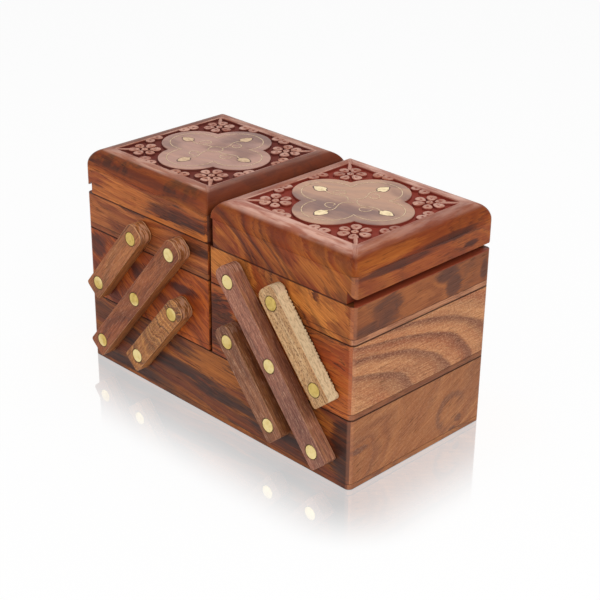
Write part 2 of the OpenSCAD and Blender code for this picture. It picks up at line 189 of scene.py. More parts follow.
class Finish(Nodes):
    """A material with one Principled shader."""

    def __init__(self, name, **sockets):
        self.material = bpy.data.materials.new(name)
        self.material.use_nodes = True
        super().__init__(self.material.node_tree)
        self.tree.nodes.clear()
        self.shader = self.tree.nodes.new("ShaderNodeBsdfPrincipled")
        self.output = self.tree.nodes.new("ShaderNodeOutputMaterial")
        self.tree.links.new(self.shader.outputs[0], self.output.inputs[0])
        self.place = self.add("ShaderNodeTexCoord", output="Object")
        self.set(**sockets)

    def set(self, **sockets):
        """Sets the shader's sockets, with _ for a space in their names."""
        for name, value in sockets.items():
            connect(self.tree, self.shader.inputs[name.replace("_", " ")], value)

    def along(self, direction):
        """How far a point lies along a direction, in millimetres."""
        scaled = [x / MM for x in direction]
        return self.add("ShaderNodeVectorMath", {0: self.place, 1: scaled}, "Value", operation="DOT_PRODUCT")

    def axes(self):
        return [self.along(axis) for axis in (ALONG_X, ALONG_Y, UP)]

    def noise(self, x, y, z, detail=2.0, roughness=0.5):
        point = self.add("ShaderNodeCombineXYZ", {0: x, 1: y, 2: z})
        sockets = {"Vector": point, "Scale": 1.0, "Detail": detail, "Roughness": roughness}
        return self.add("ShaderNodeTexNoise", sockets)

    def step(self, value, low, high):
        """A soft step from 0 below low to 1 above high."""
        sockets = {"Value": value, "From Min": low, "From Max": high}
        return self.add("ShaderNodeMapRange", sockets, interpolation_type="SMOOTHSTEP")

    def fade(self, value, low, high):
        """A soft step from 1 below low to 0 above high."""
        return 1 - self.step(value, low, high)

    def band(self, value, low, full, fading, high):
        """0 below low, 1 from full to fading, and 0 above high."""
        return self.step(value, low, full) * self.fade(value, fading, high)

    def mix(self, share, first, second, blend="MIX"):
        sockets = {0: share, 6: first, 7: second}
        return self.add("ShaderNodeMix", sockets, 2, data_type="RGBA", blend_type=blend)

    def layers(self, colour, *layers):
        """A colour with others laid over it in turn, each as (share, colour)."""
        for share, layer in layers:
            colour = self.mix(share, colour, layer)
        return colour

    def overlay(self, *layers):
        """Lays colours over the shader's own."""
        so_far = self.shader.inputs["Base Color"].links[0].from_socket
        self.set(Base_Color=self.layers(Value(self.tree, so_far), *layers))

    def bump(self, height, distance, strength=1.0):
        sockets = {"Height": height, "Distance": distance * MM, "Strength": strength}
        self.set(Normal=self.add("ShaderNodeBump", sockets))


print("what a finish can do:", [name for name in vars(Finish) if not name.startswith("_")])

# %% [markdown]
# ## Sheesham, board by board
# Sheesham is an Indian rosewood: orange-brown, with near-black veins, golden patches and short open pores.
# Its figure comes from cutting flat boards out of round rings. The same can be done here. Each board gets a
# log of its own: a direction for the grain, a place for the log's centre, and a lean. The rings are noise
# along the distance from that centre, and a slow noise bends the log. Where the board's face runs along a
# ring, arches appear by themselves, and the pattern goes through the edges as it does in real wood. On top
# of that a board can have named features: a few dark rings of a given radius, dark or golden areas at given
# places on its face, and a knot.
#
# In the formulas a number beside a length is a scale, in patches of noise to the millimetre, so 0.013 is
# one patch in some 80 mm. The two numbers of a step say where a noise, which lies round 0.5, begins to
# count and counts fully.

# %% Grain, soft areas and knots
AREA_EDGE = (0.65, 1.2)


def grain_axes(along):
    """The grain's direction and two directions across it."""
    along = Vector(along).normalized()
    side = along.cross(Vector(UP)).normalized()
    return along, side, side.cross(along)


def inside_areas(wood, face, height, areas, ragged):
    """1 inside soft areas, given as (place along the face, height, half length, half height)."""
    inside = 0.0
    for at_face, at_height, half_length, half_height in areas:
        across, up = (face - at_face) * (1 / half_length), (height - at_height) * (1 / half_height)
        inside = wood.fade(diagonal(across, up) + ragged, *AREA_EDGE).most(inside)
    return inside


def knot_layers(wood, aside, up, ragged, dark, golden):
    """A knot: a dark rim that is open on one side, round a golden eye."""
    reach = diagonal(aside, up) + ragged
    rim = wood.band(reach, 0.6, 0.85, 0.9, 1.1) * wood.step(up - aside, -0.8, 0.6)
    return (rim * 0.55, dark), (wood.fade(reach, 0.3, 0.7) * 0.5, golden)


print("grain of a front board:", [[round(x, 2) for x in axis] for axis in grain_axes(ALONG_X)])

# %% Wood from a log
LOG_BEND, RING_FADE = 42, 0.9
PORE_PAINT, FLECK_PAINT = "2A140C", "E4BC92"


def figure(wood, along, golden, body, dark, centre=(0, 30), lean=0.0, waves=1.0, rings=1.0, veins=0.5,
           lines=0.6, clouds=0.4, feather=4.0, seed=0.0, dark_rings=(), dark_areas=(), golden_areas=(),
           knots=(), flecks=0.0):
    """Colour, pores and fibre of a log. Centre is where its middle lies across the grain."""
    u, v, w = (wood.along(axis) for axis in grain_axes(along))
    face, height = wood.along(ALONG_X if abs(along[0]) > abs(along[1]) else ALONG_Y), wood.along(UP)
    fibre = wood.noise(u * 0.04, v * 1.2 + seed, w * 1.2, 3, 0.6)
    bend_v = wood.noise(u * 0.013 + seed, v * 0.022, w * 0.022) - 0.5
    bend_w = wood.noise(u * 0.011 + seed, v * 0.02 + 40, w * 0.02) - 0.5
    ruffle = wood.noise(u * 0.05 + seed, v * 0.12, w * 0.12, 3) - 0.5
    across_v = v - centre[0] + bend_v * (LOG_BEND * waves) + u * lean
    across_w = w - centre[1] + bend_w * (LOG_BEND * waves)
    radius = diagonal(across_v, across_w) + ruffle * (5 * waves + 1) + (fibre - 0.5) * feather
    growth = wood.noise(radius * (0.2 * rings) + seed, u * 0.006, seed * 1.7, 4, 0.6)
    band = wood.noise(radius * (0.13 * rings) + seed + 60, u * 0.008 + 20, seed, 3, 0.6)
    line = wood.noise(radius * (0.7 * rings) + seed + 90, u * 0.02 + 20, v * 0.02 + seed, 3, 0.65)
    cloud = wood.noise(u * 0.016 + seed, v * 0.03 + 80, w * 0.035, 3)
    pore = wood.step(wood.noise(u * 0.12 + seed, v * 2.4, w * 2.4, 1), 0.60, 0.72)
    ragged = (cloud - 0.5) * 1.6 + (fibre - 0.5) * 1.4
    darker = inside_areas(wood, face, height, dark_areas, ragged)
    lighter = inside_areas(wood, face, height, golden_areas, ragged)

    layers = [
        (wood.step(growth + lighter * 0.14 - darker * 0.1, 0.38, 0.64), golden),
        (wood.step(cloud, 0.48, 0.68) * clouds, dark),
        (wood.step(band + darker * 0.16 - lighter * 0.08, 0.50, 0.63) * veins, dark),
        (wood.step(line + darker * 0.08 - lighter * 0.03, 0.52, 0.68) * lines, dark),
        (darker * wood.step(line, 0.2, 0.5) * 0.6, dark),
    ]
    for ring, width in dark_rings:
        edge = wood.step(radius, ring - width, ring) ** 2.5 * wood.fade(radius, ring, ring + RING_FADE)
        layers.append((edge * 0.7, dark))
    for at_face, at_height, size in knots:
        aside, up = (face - at_face) * (1 / size), (height - at_height) * (1 / size)
        layers.extend(knot_layers(wood, aside, up, ragged * 0.3 + (line - 0.5) * 0.5, dark, golden))
    if flecks:
        fleck = wood.noise(u * 0.7, v * 1.8, w * 1.8 + seed, 2)
        layers.append((wood.step(fleck, 0.50, 0.62) * flecks, FLECK_PAINT))
        layers.append((wood.fade(fleck, 0.36, 0.46) * flecks, dark))
    colour = wood.layers(body, *layers)
    colour = wood.mix(wood.step(fibre, 0.25, 0.75) * 0.45, colour, body, "MULTIPLY")
    return wood.mix(pore * 0.5, colour, PORE_PAINT), pore, fibre


def sheesham(name, polish=0.42, gloss=0.2, **log):
    wood = Finish(name, Specular_IOR_Level=gloss)
    colour, pore, fibre = figure(wood, **log)
    wood.set(Base_Color=colour, Roughness=pore * 0.2 + fibre * 0.08 + polish)
    wood.bump(fibre * 0.5 - pore, 0.06, 0.5)
    return wood


print("a log bends by up to", LOG_BEND / 2, "mm")

# %% [markdown]
# ## From solid to board
# The loaded meshes are exact but razor sharp, and their triangles are loose. Real boards have their edges
# eased with sandpaper, which is what catches the light along the joints. So each board is a welded copy of
# its solid, with the edges that a hand can reach bevelled. The mitres stay sharp, since both boards are
# sanded flush there.

# %% Welded copies
WELD_GAP, FLAT_ANGLE = 0.0001 * MM, math.radians(0.5)


def welded(node):
    """A closed copy of a solid, with its flat triangles joined into faces."""
    form = bmesh.new()
    form.from_mesh(frame["nodes"][node].data)
    bmesh.ops.remove_doubles(form, verts=form.verts, dist=WELD_GAP)
    bmesh.ops.dissolve_limit(form, angle_limit=FLAT_ANGLE, verts=form.verts, edges=form.edges)
    return form


def islands(form):
    """Each separate solid of a form in turn, as a list of its corners."""
    seen = set()
    for start in form.verts:
        if start in seen:
            continue
        group, waiting = [], [start]
        seen.add(start)
        while waiting:
            vert = waiting.pop()
            group.append(vert)
            beyond = {edge.other_vert(vert) for edge in vert.link_edges} - seen
            seen |= beyond
            waiting.extend(beyond)
        yield group


def box_of(corners):
    """The low and the high corner of the box round some corners of a form."""
    return tuple(Vector(pick(v.co[axis] for v in corners) for axis in range(3)) for pick in (min, max))


print("pins in the base:", len(list(islands(welded("base_pins")))))


# %% Putting a piece in place
def as_mesh(name, form):
    """The form's mesh. The form itself is given up."""
    mesh = bpy.data.meshes.new(name)
    form.to_mesh(mesh)
    form.free()
    return mesh


def show(name, form, body, finish, slot, nodes=(), smooth=35):
    """A finished piece that moves with a body, in place of the given solids."""
    mesh = as_mesh(name, form) if isinstance(form, bmesh.types.BMesh) else form
    mesh.name = name
    for extra in ("custom_normal", "sharp_face"):
        if extra in mesh.attributes:
            mesh.attributes.remove(mesh.attributes[extra])
    mesh.shade_smooth()
    mesh.set_sharp_from_angle(angle=math.radians(smooth))
    mesh.materials.clear()
    mesh.materials.append(finish.material)
    piece = in_scene(bpy.data.objects.new(name, mesh))
    weigh = piece.modifiers.new("even_normals", "WEIGHTED_NORMAL")
    weigh.keep_sharp = True
    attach(piece, body)
    if nodes:
        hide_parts(*nodes)
    return piece


def ease(form, edges, width, segments):
    bmesh.ops.bevel(form, geom=list(edges), offset=width * MM, offset_type="OFFSET", segments=segments,
                    profile=0.5, affect="EDGES", clamp_overlap=True)


print("bodies that a piece can ride on:", sorted(set(BODY_OF.values())))

# %% [markdown]
# ## Handling, and painted shade in the gap
# Old polish gathers in the joints between the boards, and the gap between the two halves is darkened with
# painted shade. The upright outer corners get a pale band, partly where hands rubbed them and partly a
# painted highlight. The solids have the same round on all upright corners. In the box, the corners beside the
# gap are nearly square, so their arcs are pushed outwards before the edges are eased.

# %% Which edges of a board are eased
EDGE_EASE = 0.3
MITRE_LENGTH, SHARP_ANGLE = 4 * MM, math.radians(50)
LEVEL_SLOPE, MITRE_SLOPE = 0.2, 0.3


def sharp(edge):
    return len(edge.link_faces) == 2 and edge.calc_face_angle() > SHARP_ANGLE


def hand_edges(form):
    """Level edges along the outline. Uprights and the slanting edges of the mitres are left."""
    for edge in form.edges:
        run = edge.verts[1].co - edge.verts[0].co
        level = abs(run.z) < LEVEL_SLOPE * run.length
        mitre = run.length > MITRE_LENGTH and min(abs(run.x), abs(run.y)) > MITRE_SLOPE * run.length
        if sharp(edge) and level and not mitre:
            yield edge


print("edges to ease on the front of the base:", len(list(hand_edges(welded("base_front")))))

# %% Squared corners
CORNER_ROUND, INNER_ROUND = 3.0, 0.7
SPLIT = box_in_mm("right_middle_floor")[0].x
BASE_CORNER = box_in_mm("base_floor")[1]


def square_up(form):
    """Pushes out the rounded corners beside the gap between the halves."""
    flat = CORNER_ROUND - INNER_ROUND
    for vert in form.verts:
        aside = SPLIT + CORNER_ROUND - abs(vert.co.x) / MM
        ahead = abs(vert.co.y) / MM - BASE_CORNER.y + CORNER_ROUND
        reach = math.hypot(aside, ahead)
        if aside <= 0.01 or ahead <= 0.01 or abs(reach - CORNER_ROUND) > 0.1:
            continue
        a, b = aside / reach, ahead / reach
        push = CORNER_ROUND / max(a, b)
        if push * min(a, b) > flat:
            push = flat * (a + b) + math.sqrt(flat ** 2 * (a + b) ** 2 - 2 * flat ** 2 + INNER_ROUND ** 2)
        vert.co.x = math.copysign(SPLIT + CORNER_ROUND - push * a, vert.co.x) * MM
        vert.co.y = math.copysign(BASE_CORNER.y - CORNER_ROUND + push * b, vert.co.y) * MM


print("gap between the halves in mm:", round(2 * SPLIT, 2))

# %% Old polish, worn and highlit corners, painted shade between the halves
# The corner paint is a pale band on the upright corners, partly wear and partly a painted highlight. The old
# polish colour darkens the joints, and it is also the painted shade in the gap between the halves.
CORNER_WEAR_AND_HIGHLIGHT_REACH = (BASE_CORNER.x + BASE_CORNER.y - 3, BASE_CORNER.x + BASE_CORNER.y - 2)
JOINT_EDGE, POLISH_AND_GAP_SHADE, RED_STAIN = 0.5, "2E140C", "4A120C"
CORNER_WEAR_AND_HIGHLIGHT, RED_EDGE_PAINT = "B87E64", "8C3E26"
BETWEEN_HALVES, BETWEEN_DEEP = (1.0, 1.3), (49.5, 50.0)


def handled(wood, node, top_joint=True, joint_paint=POLISH_AND_GAP_SHADE):
    """Dark lines of old polish along level edges, a pale band on the upright corners that is partly wear and
    partly a painted highlight, and painted shade in the gap between the two halves.
    """
    low, high = box_in_mm(node)[:2]
    x, y, z = wood.axes()
    nearest = (z - low.z).least(high.z - z) if top_joint else z - low.z
    layers = [(wood.step(x.size() + y.size(), *CORNER_WEAR_AND_HIGHLIGHT_REACH) * 0.25, CORNER_WEAR_AND_HIGHLIGHT),
              (wood.fade(nearest, JOINT_EDGE * 0.4, JOINT_EDGE) * 0.75, joint_paint)]
    if node.endswith("upper_outer_end"):
        layers.append((wood.step(z, high.z - 0.4, high.z - 0.2), RED_EDGE_PAINT))
    # Painted shade: the boards beside the gap between the halves are darkened there.
    if not node.startswith("base"):
        between = wood.fade(x.size(), *BETWEEN_HALVES) * wood.fade(y.size(), *BETWEEN_DEEP)
        layers.append((between * 0.7, POLISH_AND_GAP_SHADE))
    wood.overlay(*layers)
    return wood


def board(node, finish, slot):
    form = welded(node)
    if not node.startswith("base"):
        square_up(form)
    ease(form, hand_edges(form), EDGE_EASE, 2)
    return show(f"{node}_wood", form, BODY_OF[node], finish, slot, [node])


print("a rubbed corner begins where x and y make", round(CORNER_WEAR_AND_HIGHLIGHT_REACH[0], 1), "mm together")

# %% [markdown]
# ## Which board gets which log
# The front of the base has long dark veins, the trays' fronts have wide golden arcs, and the right end of
# the middle tray was cut close to the log's middle, so it shows bent arches. Each row below names the
# board, the direction of its grain and the cut. Boards that the photograph doesn't show get a plain log
# each, with seeds of their own.

# %% The logs
PLAIN = dict(golden="BF6E2C", body="924019", dark="3F2015")
LOGS = {
    "base_front": dict(
        along=(1, 0, -0.06), centre=(25, -70), lean=0.1, waves=0.6, veins=0.5, lines=0.8, clouds=0.2,
        seed=3.1, golden="B06628", body="7C3B1D", dark="36201A", golden_areas=[(6, 31, 26, 7)],
        dark_areas=[(-34, 20, 38, 3.5), (12, 15, 30, 4), (56, 12, 30, 4.5), (97, 20, 8, 20),
                    (-70, 5, 42, 3)]),
    "base_back": dict(along=ALONG_X, centre=(-20, 30), veins=0.7, seed=8.2),
    "base_left_end": dict(along=ALONG_Y, centre=(10, 40), veins=0.5, seed=4.4),
    "base_right_end": dict(
        along=(0, 1, 0.45), centre=(80, 30), lean=0.3, waves=0.7, veins=0.2, lines=0.3, clouds=0.15,
        feather=2.0, flecks=0.12, seed=5.9, golden="B67848", body="A06238", dark="6A4538",
        dark_areas=[(32, 9, 3, 2.5), (28, 3.5, 3.5, 1.8), (-46, 21, 9, 2)], knots=[(27, 14, 12)]),
    "right_middle_front": dict(
        along=(1, 0, -0.02), centre=(60, 90), lean=0.2, waves=0.9, rings=1.5, veins=0.3, lines=0.9,
        clouds=0.3, seed=11.0, golden="CB7330", body="A54B20", dark_areas=[(6, 61, 11, 16)]),
    "left_middle_front": dict(
        along=(1, 0, -0.55), centre=(35, 40), lean=0.2, waves=1.4, veins=0.45, lines=0.7, seed=2.0,
        golden="C0621F", body="963E14", dark="4A2015",
        dark_areas=[(-94, 71, 8, 8), (-22, 68, 12, 3), (-55, 66, 9, 6)]),
    "right_upper_front": dict(
        along=(0.87, 0, -0.35), centre=(31.3, 97), lean=0.4, waves=0.8, veins=0.4, lines=0.8, clouds=0.3,
        seed=21.0, golden="CE8038", body="9A4B20", golden_areas=[(74, 92, 15, 4), (8, 93, 7, 8)]),
    "left_upper_front": dict(
        along=(1, 0, -0.04), centre=(25, 165), lean=0.1, waves=0.7, veins=0.5, lines=0.8, clouds=0.2,
        seed=13.0, golden="C4743A", body="964C24", dark_areas=[(-10, 95, 15, 3)],
        golden_areas=[(-92, 87, 16, 4)]),
    "right_middle_outer_end": dict(
        along=ALONG_Y, centre=(63, 36), lean=0.276, waves=0.2, veins=0.2, lines=0.15, clouds=0.25,
        feather=0.8, flecks=0.3, seed=31.0, golden="D09462", body="B46E44", dark="6E3F30",
        dark_rings=[(36.7, 6), (44.7, 7), (50.5, 5), (56, 5)]),
    "right_upper_outer_end": dict(
        along=(0, 1, 0.1), centre=(70, 90), lean=0.1, veins=0.25, lines=0.4, clouds=0.3, seed=16.0,
        golden="B06A38", body="94542C", dark="54342A",
        dark_areas=[(-36, 86, 18, 3.5), (-27, 93, 11, 7), (17, 97, 9, 4), (22, 90, 6, 6), (46, 91, 3, 6)]),
}
GRAIN_WAYS = {"front": ALONG_X, "back": ALONG_X, "inner_end": ALONG_Y, "outer_end": ALONG_Y}
FIRST_SEEDS, SEED_STEP = {"middle": 41, "upper": 47}, 2.3

for half in SIDES:
    for tier, seed in FIRST_SEEDS.items():
        for place, way in GRAIN_WAYS.items():
            seed += SEED_STEP
            log = dict(along=way, centre=(15, 30 + seed % 40), lean=0.15, veins=0.6, seed=seed + len(half))
            LOGS.setdefault(f"{half}_{tier}_{place}", log)
print("logs:", len(LOGS))

# %% Side and end boards
for node, log in LOGS.items():
    wood = handled(sheesham(f"sheesham_{node}", **(PLAIN | log)), node)
    board(node, wood, "end_boards" if "end" in node else "side_boards")
print("boards:", len(LOGS))

# %% [markdown]
# ## Floor boards
# The edges of the floor boards show under the trays. Along the front and beside the gap they are coloured
# like the board above. At the outer ends they are paler on the upper trays and darker on the middle ones.

# %% Floor boards
FRONT_SKIN = (50.5, 50.7)
FLOOR_COLOURS = {"base": dict(golden="B67B4C", body="A06439", dark="64413A"),
                 "middle": dict(golden="A2653E", body="8A5234", dark="4A2C20"),
                 "upper": dict(golden="CC936C", body="B87E5A", dark="7A4A36")}

for box in BOXES:
    node, tier = f"{box}_floor", box.split("_")[-1]
    log = dict(along=ALONG_Y, centre=(0, 60), veins=0.2, clouds=0.3, seed=7.7 + len(node))
    wood = sheesham(f"sheesham_{node}", **log, **FLOOR_COLOURS[tier])
    x, y = wood.axes()[:2]
    like_front = wood.step(y.size(), *FRONT_SKIN)
    if tier != "base":
        like_front = like_front.most(wood.fade(x.size(), *BETWEEN_HALVES))
    wood.overlay((like_front, figure(wood, **(PLAIN | LOGS[f"{box}_front"]))[0]))
    handled(wood, node, top_joint=False)
    board(node, wood, "base_floor_wood" if tier == "base" else "tray_floor_wood")
print("floor boards:", len(BOXES))

# %% [markdown]
# ## The lids
# A lid is four rails under a thick board whose edges are rounded over to the full depth. The rails have a
# groove for the fingers along the outer end, and its inside was brushed with dark stain. A mask made of
# three steps finds that inside: it is lower than the groove's roof and further out than its inner wall, but
# not on an outer face.

# %% Lid rails
GROOVE_DEPTH, GROOVE_HEIGHT, EDGE_SKIN = 5, 7, 0.35
STAIN_PAINT, STAIN_SHARE = "80321A", 0.85
RAIL_LOGS = {
    "right_lid_long_rails": dict(
        PLAIN, along=(0.87, 0, -0.5), centre=(31.3, 97), lean=0.4, waves=0.5, veins=0.4, lines=0.5,
        clouds=0.3, seed=61.0, dark_rings=[(12, 6), (21, 5), (30, 3)],
        golden_areas=[(12, 108, 11, 7), (75, 108, 20, 6)]),
    "left_lid_long_rails": dict(
        along=(1, 0, -0.05), centre=(20, 170), lean=0.1, waves=0.6, veins=0.35, lines=0.9, clouds=0.2,
        seed=64.0, golden="C87634", body="9C4A20", dark="45241A",
        dark_areas=[(-24, 108, 24, 4), (-60, 121, 40, 2.5)], golden_areas=[(-60, 110, 30, 4)]),
    "right_lid_end_rails": dict(
        PLAIN, along=(0, 1, 0.02), centre=(-60, 110), lean=0.1, waves=0.6, veins=0.3, lines=0.6, clouds=0.3,
        seed=67.0, dark_areas=[(-24, 114, 34, 2.4), (14, 116.5, 24, 2.4), (34, 108.5, 6, 1.8)],
        golden_areas=[(-25, 120.5, 24, 2.5)]),
    # Painted shade: these colours are dark because the inner end faces the gap between the halves. The outer
    # end and the ends of the left top take them too.
    "left_lid_end_rails": dict(
        along=ALONG_Y, centre=(60, 110), lean=0.1, waves=0.6, veins=0.6, seed=69.0,
        golden="6E3C24", body="522618", dark="2C1610"),
}

for node, log in RAIL_LOGS.items():
    low, high = box_in_mm(node)[:2]
    outer = max(abs(low.x), abs(high.x))
    wood = sheesham(f"sheesham_{node}", **log)
    x, y, z = wood.axes()
    round_x, round_y = ((way.size() - end + CORNER_ROUND).most(0.0) for way, end in ((x, outer), (y, high.y)))
    inside = (wood.step(x.size(), outer - GROOVE_DEPTH - EDGE_SKIN, outer - GROOVE_DEPTH)
              * wood.fade(diagonal(round_x, round_y), CORNER_ROUND - EDGE_SKIN, CORNER_ROUND - EDGE_SKIN / 2)
              * wood.fade(z, low.z + GROOVE_HEIGHT + 0.1, low.z + GROOVE_HEIGHT + EDGE_SKIN))
    wood.overlay((inside * STAIN_SHARE, STAIN_PAINT))
    board(node, handled(wood, node, top_joint=False, joint_paint=RED_STAIN), "lid_rails")
print("groove is", GROOVE_DEPTH, "mm deep")

# %% [markdown]
# ## The carved top
# The top board can't be a bevelled copy, because its long roundover and its carving need even rows of
# faces. It is built from rings instead: a rounded rectangle that shrinks as it climbs a quarter circle,
# then steps down into a square pocket. The raised medallion and the flowers are separate shells that stand
# in the pocket, as deep as the carver left them.

# %% Rings of a rounded rectangle
CORNERS = ((1, 1), (-1, 1), (-1, -1), (1, -1))
CORNER_STEPS = 6


def rectangle_ring(centre_x, half_x, half_y, outer_radius, height, inner_radius=None):
    """A level ring of points. The corners nearer the middle of the box can have a radius of their own."""
    ring = []
    for corner, (sx, sy) in enumerate(CORNERS):
        radius = inner_radius if inner_radius and sx * centre_x < 0 else outer_radius
        for i in range(CORNER_STEPS + 1):
            angle = math.radians(90 * (corner + i / CORNER_STEPS))
            ring.append((centre_x + sx * (half_x - radius) + radius * math.cos(angle),
                         sy * (half_y - radius) + radius * math.sin(angle), height))
    return ring


def skin(form, rings):
    """Joins rings of points, from the bottom up, into a closed shell."""
    rows = [[form.verts.new(Vector(p) * MM) for p in ring] for ring in rings]
    for lower, upper in zip(rows, rows[1:]):
        for i in range(len(lower)):
            j = (i + 1) % len(lower)
            form.faces.new((lower[i], lower[j], upper[j], upper[i]))
    form.faces.new(rows[0][::-1])
    form.faces.new(rows[-1])
    return form


print("points in a ring:", len(rectangle_ring(0, 10, 10, 1, 0)))

# %% Sizes of the top board and its carving
TOP_ROUND, ROUND_STEPS, LOW_EASE, LEAST_ROUND = 9.4, 14, 0.2, 0.8
FIELD_HALF, CARVE_DEPTH, FIELD_CORNER, FIELD_EASE = 38.6, 1.6, 1.6, 0.3
FIELD_EDGE = ((0, 0), (0.15, 0.04), (0.3, 0.16), (0.38, 0.35), (0.5, CARVE_DEPTH))
LOBE_ROUND, LOBE_REACH = 18.3, 17.2


def top_rings(low, high, middle):
    """The board from its underside up over the roundover and down into the carved field."""
    half_x, half_y = high.x - middle.x, high.y
    rings = [rectangle_ring(middle.x, half_x - inset, half_y - inset, CORNER_ROUND, low.z + rise, INNER_ROUND)
             for inset, rise in ((LOW_EASE, 0), (0, LOW_EASE))]
    for i in range(ROUND_STEPS + 1):
        angle = math.radians(90 * i / ROUND_STEPS)
        inset = TOP_ROUND * (1 - math.cos(angle))
        height = high.z - TOP_ROUND * (1 - math.sin(angle))
        radius = max(CORNER_ROUND - 0.3 * inset, LEAST_ROUND)
        rings.append(rectangle_ring(middle.x, half_x - inset, half_y - inset, radius, height, INNER_ROUND))
    for inset, drop in FIELD_EDGE:
        half_field = FIELD_HALF + FIELD_EASE - inset
        rings.append(rectangle_ring(middle.x, half_field, half_field, FIELD_CORNER, high.z - drop))
    return rings


print("rings in the top board:", len(top_rings(*box_in_mm("right_lid_top"))))

# %% [markdown]
# ## Patterns that repeat
# The petals, the buds, the pins and the screws are each one small form, set down many times. Geometry Nodes
# suit that: a tree takes points or curves, and named inputs for the sizes, and puts a copy on each. A small
# class builds such trees, and turns each result into a plain mesh.


# %% Trees with named inputs
class Pattern(Nodes):
    """A Geometry Nodes tree. pattern["Name"] is the input of that name."""

    def __init__(self, name, **inputs):
        super().__init__(bpy.data.node_groups.new(name, "GeometryNodeTree"))
        self.tree.interface.new_socket("Geometry", in_out="OUTPUT", socket_type="NodeSocketGeometry")
        self.identifiers = {}
        for label, kind in dict(Carrier="Geometry", **inputs, Finish="Material").items():
            label = label.replace("_", " ")
            socket = self.tree.interface.new_socket(label, in_out="INPUT", socket_type=f"NodeSocket{kind}")
            self.identifiers[label] = socket.identifier
        self.start = self.tree.nodes.new("NodeGroupInput")
        self.end = self.tree.nodes.new("NodeGroupOutput")

    def __getitem__(self, label):
        return Value(self.tree, self.start.outputs[label])

    def form(self, label):
        """The mesh of the object that an input names."""
        return self.add("GeometryNodeObjectInfo", {"Object": self[label]}, "Geometry")

    def random(self, middle, spread, shift=0):
        """A number of its own for each copy, no further from the middle than the input for its spread."""
        sockets = {2: middle - self[spread], 3: self[spread] + middle, "Seed": self["Seed"] + shift}
        return self.add("FunctionNodeRandomValue", sockets, 1, data_type="FLOAT")

    def turn(self, angle):
        return self.add("FunctionNodeAxisAngleToRotation", {"Axis": UP, "Angle": angle})

    def copies(self, **sockets):
        return self.add("GeometryNodeInstanceOnPoints", sockets)

    def finish(self, geometry):
        """Makes the copies real, paints them, and ends the tree."""
        real = self.add("GeometryNodeRealizeInstances", {"Geometry": geometry})
        painted = self.add("GeometryNodeSetMaterial", {"Geometry": real, "Material": self["Finish"]})
        self.tree.links.new(painted.socket, self.end.inputs[0])
        print(self.tree.name, "has the inputs", list(self.identifiers))

    def grow(self, carrier, finish, **values):
        """The plain mesh that the tree makes of a mesh or curve."""
        holder = in_scene(bpy.data.objects.new("carrier", carrier))
        modifier = holder.modifiers.new("pattern", "NODES")
        modifier.node_group = self.tree
        for label, value in dict(values, Finish=finish.material).items():
            modifier[self.identifiers[label.replace("_", " ")]] = value
        mesh = evaluated_mesh(holder)
        bpy.data.objects.remove(holder)
        return mesh


print("what a pattern can do:", [name for name in vars(Pattern) if not name.startswith("_")])


# %% A form on every point
def evaluated_mesh(thing):
    """What an object's modifiers make of it, as a plain mesh."""
    return bpy.data.meshes.new_from_object(thing.evaluated_get(bpy.context.evaluated_depsgraph_get()))


def master(name, form):
    """One small form, in its own object, for a pattern to copy."""
    return bpy.data.objects.new(name, as_mesh(name, form))


def points_mesh(name, places, facings):
    """Points that each know which way they face."""
    mesh = bpy.data.meshes.new(name)
    mesh.from_pydata([Vector(p) * MM for p in places], [], [])
    attribute = mesh.attributes.new("facing", "FLOAT_VECTOR", "POINT")
    attribute.data.foreach_set("vector", [x for facing in facings for x in facing])
    return mesh


set_down = Pattern("forms_on_points", Form="Object", Size_spread="Float", Spin="Float", Seed="Int")
facing = set_down.add("GeometryNodeInputNamedAttribute", {"Name": "facing"}, data_type="FLOAT_VECTOR")
upright = set_down.add("FunctionNodeAlignRotationToVector", {"Vector": facing}, axis="Z")
spun = set_down.turn(set_down.random(0, "Spin"))
rotation = set_down.add("FunctionNodeRotateRotation", {0: upright, 1: spun}, rotation_space="LOCAL")
set_down.finish(set_down.copies(Points=set_down["Carrier"], Instance=set_down.form("Form"), Rotation=rotation,
                                Scale=set_down.random(1, "Size spread", 1)))

# %% [markdown]
# ## Flowers in the corners
# Each corner has a flower of six petals round a small boss. The carver leaves a petal as a low pad and
# presses an eye into it with a round punch. A pad with a dent is a set of rings at chosen heights, so both
# come from one short profile. A tree then sets six petals round a boss, and that flower in four corners.

# %% A punched pad
PAD = [(1, -0.2), (0.99, 0.9), (0.96, 1.25), (0.9, 1.42), (0.75, 1.5), (0.3, 1.44), (0.25, 1.12),
       (0.16, 0.95), (0.05, 0.92)]


def turned_form(profile, long=2.0, wide=2.0, spread=0.0, eye_shift=0.0, around=24):
    """A closed form from rows of (share of the radius, height), from the bottom up. Spread makes its outer
    end the wider one, and eye_shift moves the middle. Where long and wide are 2, the shares are radii."""
    rings = []
    for share, height in profile:
        angles = [2 * math.pi * i / around for i in range(around)]
        rings.append([(long / 2 * share * math.cos(a) + eye_shift * (1 - share),
                       wide / 2 * share * math.sin(a) * (1 + spread * math.cos(a)), height) for a in angles])
    return skin(bmesh.new(), rings)


petal = master("petal", turned_form(PAD, 6.4, 5.2, 0.3, -0.4))
boss = master("boss", turned_form(PAD, 3.8, 3.8))
bud = master("bud", turned_form(PAD, 6.5, 5.7, 0.1, 0.4))
print("faces in a petal:", len(petal.data.polygons))

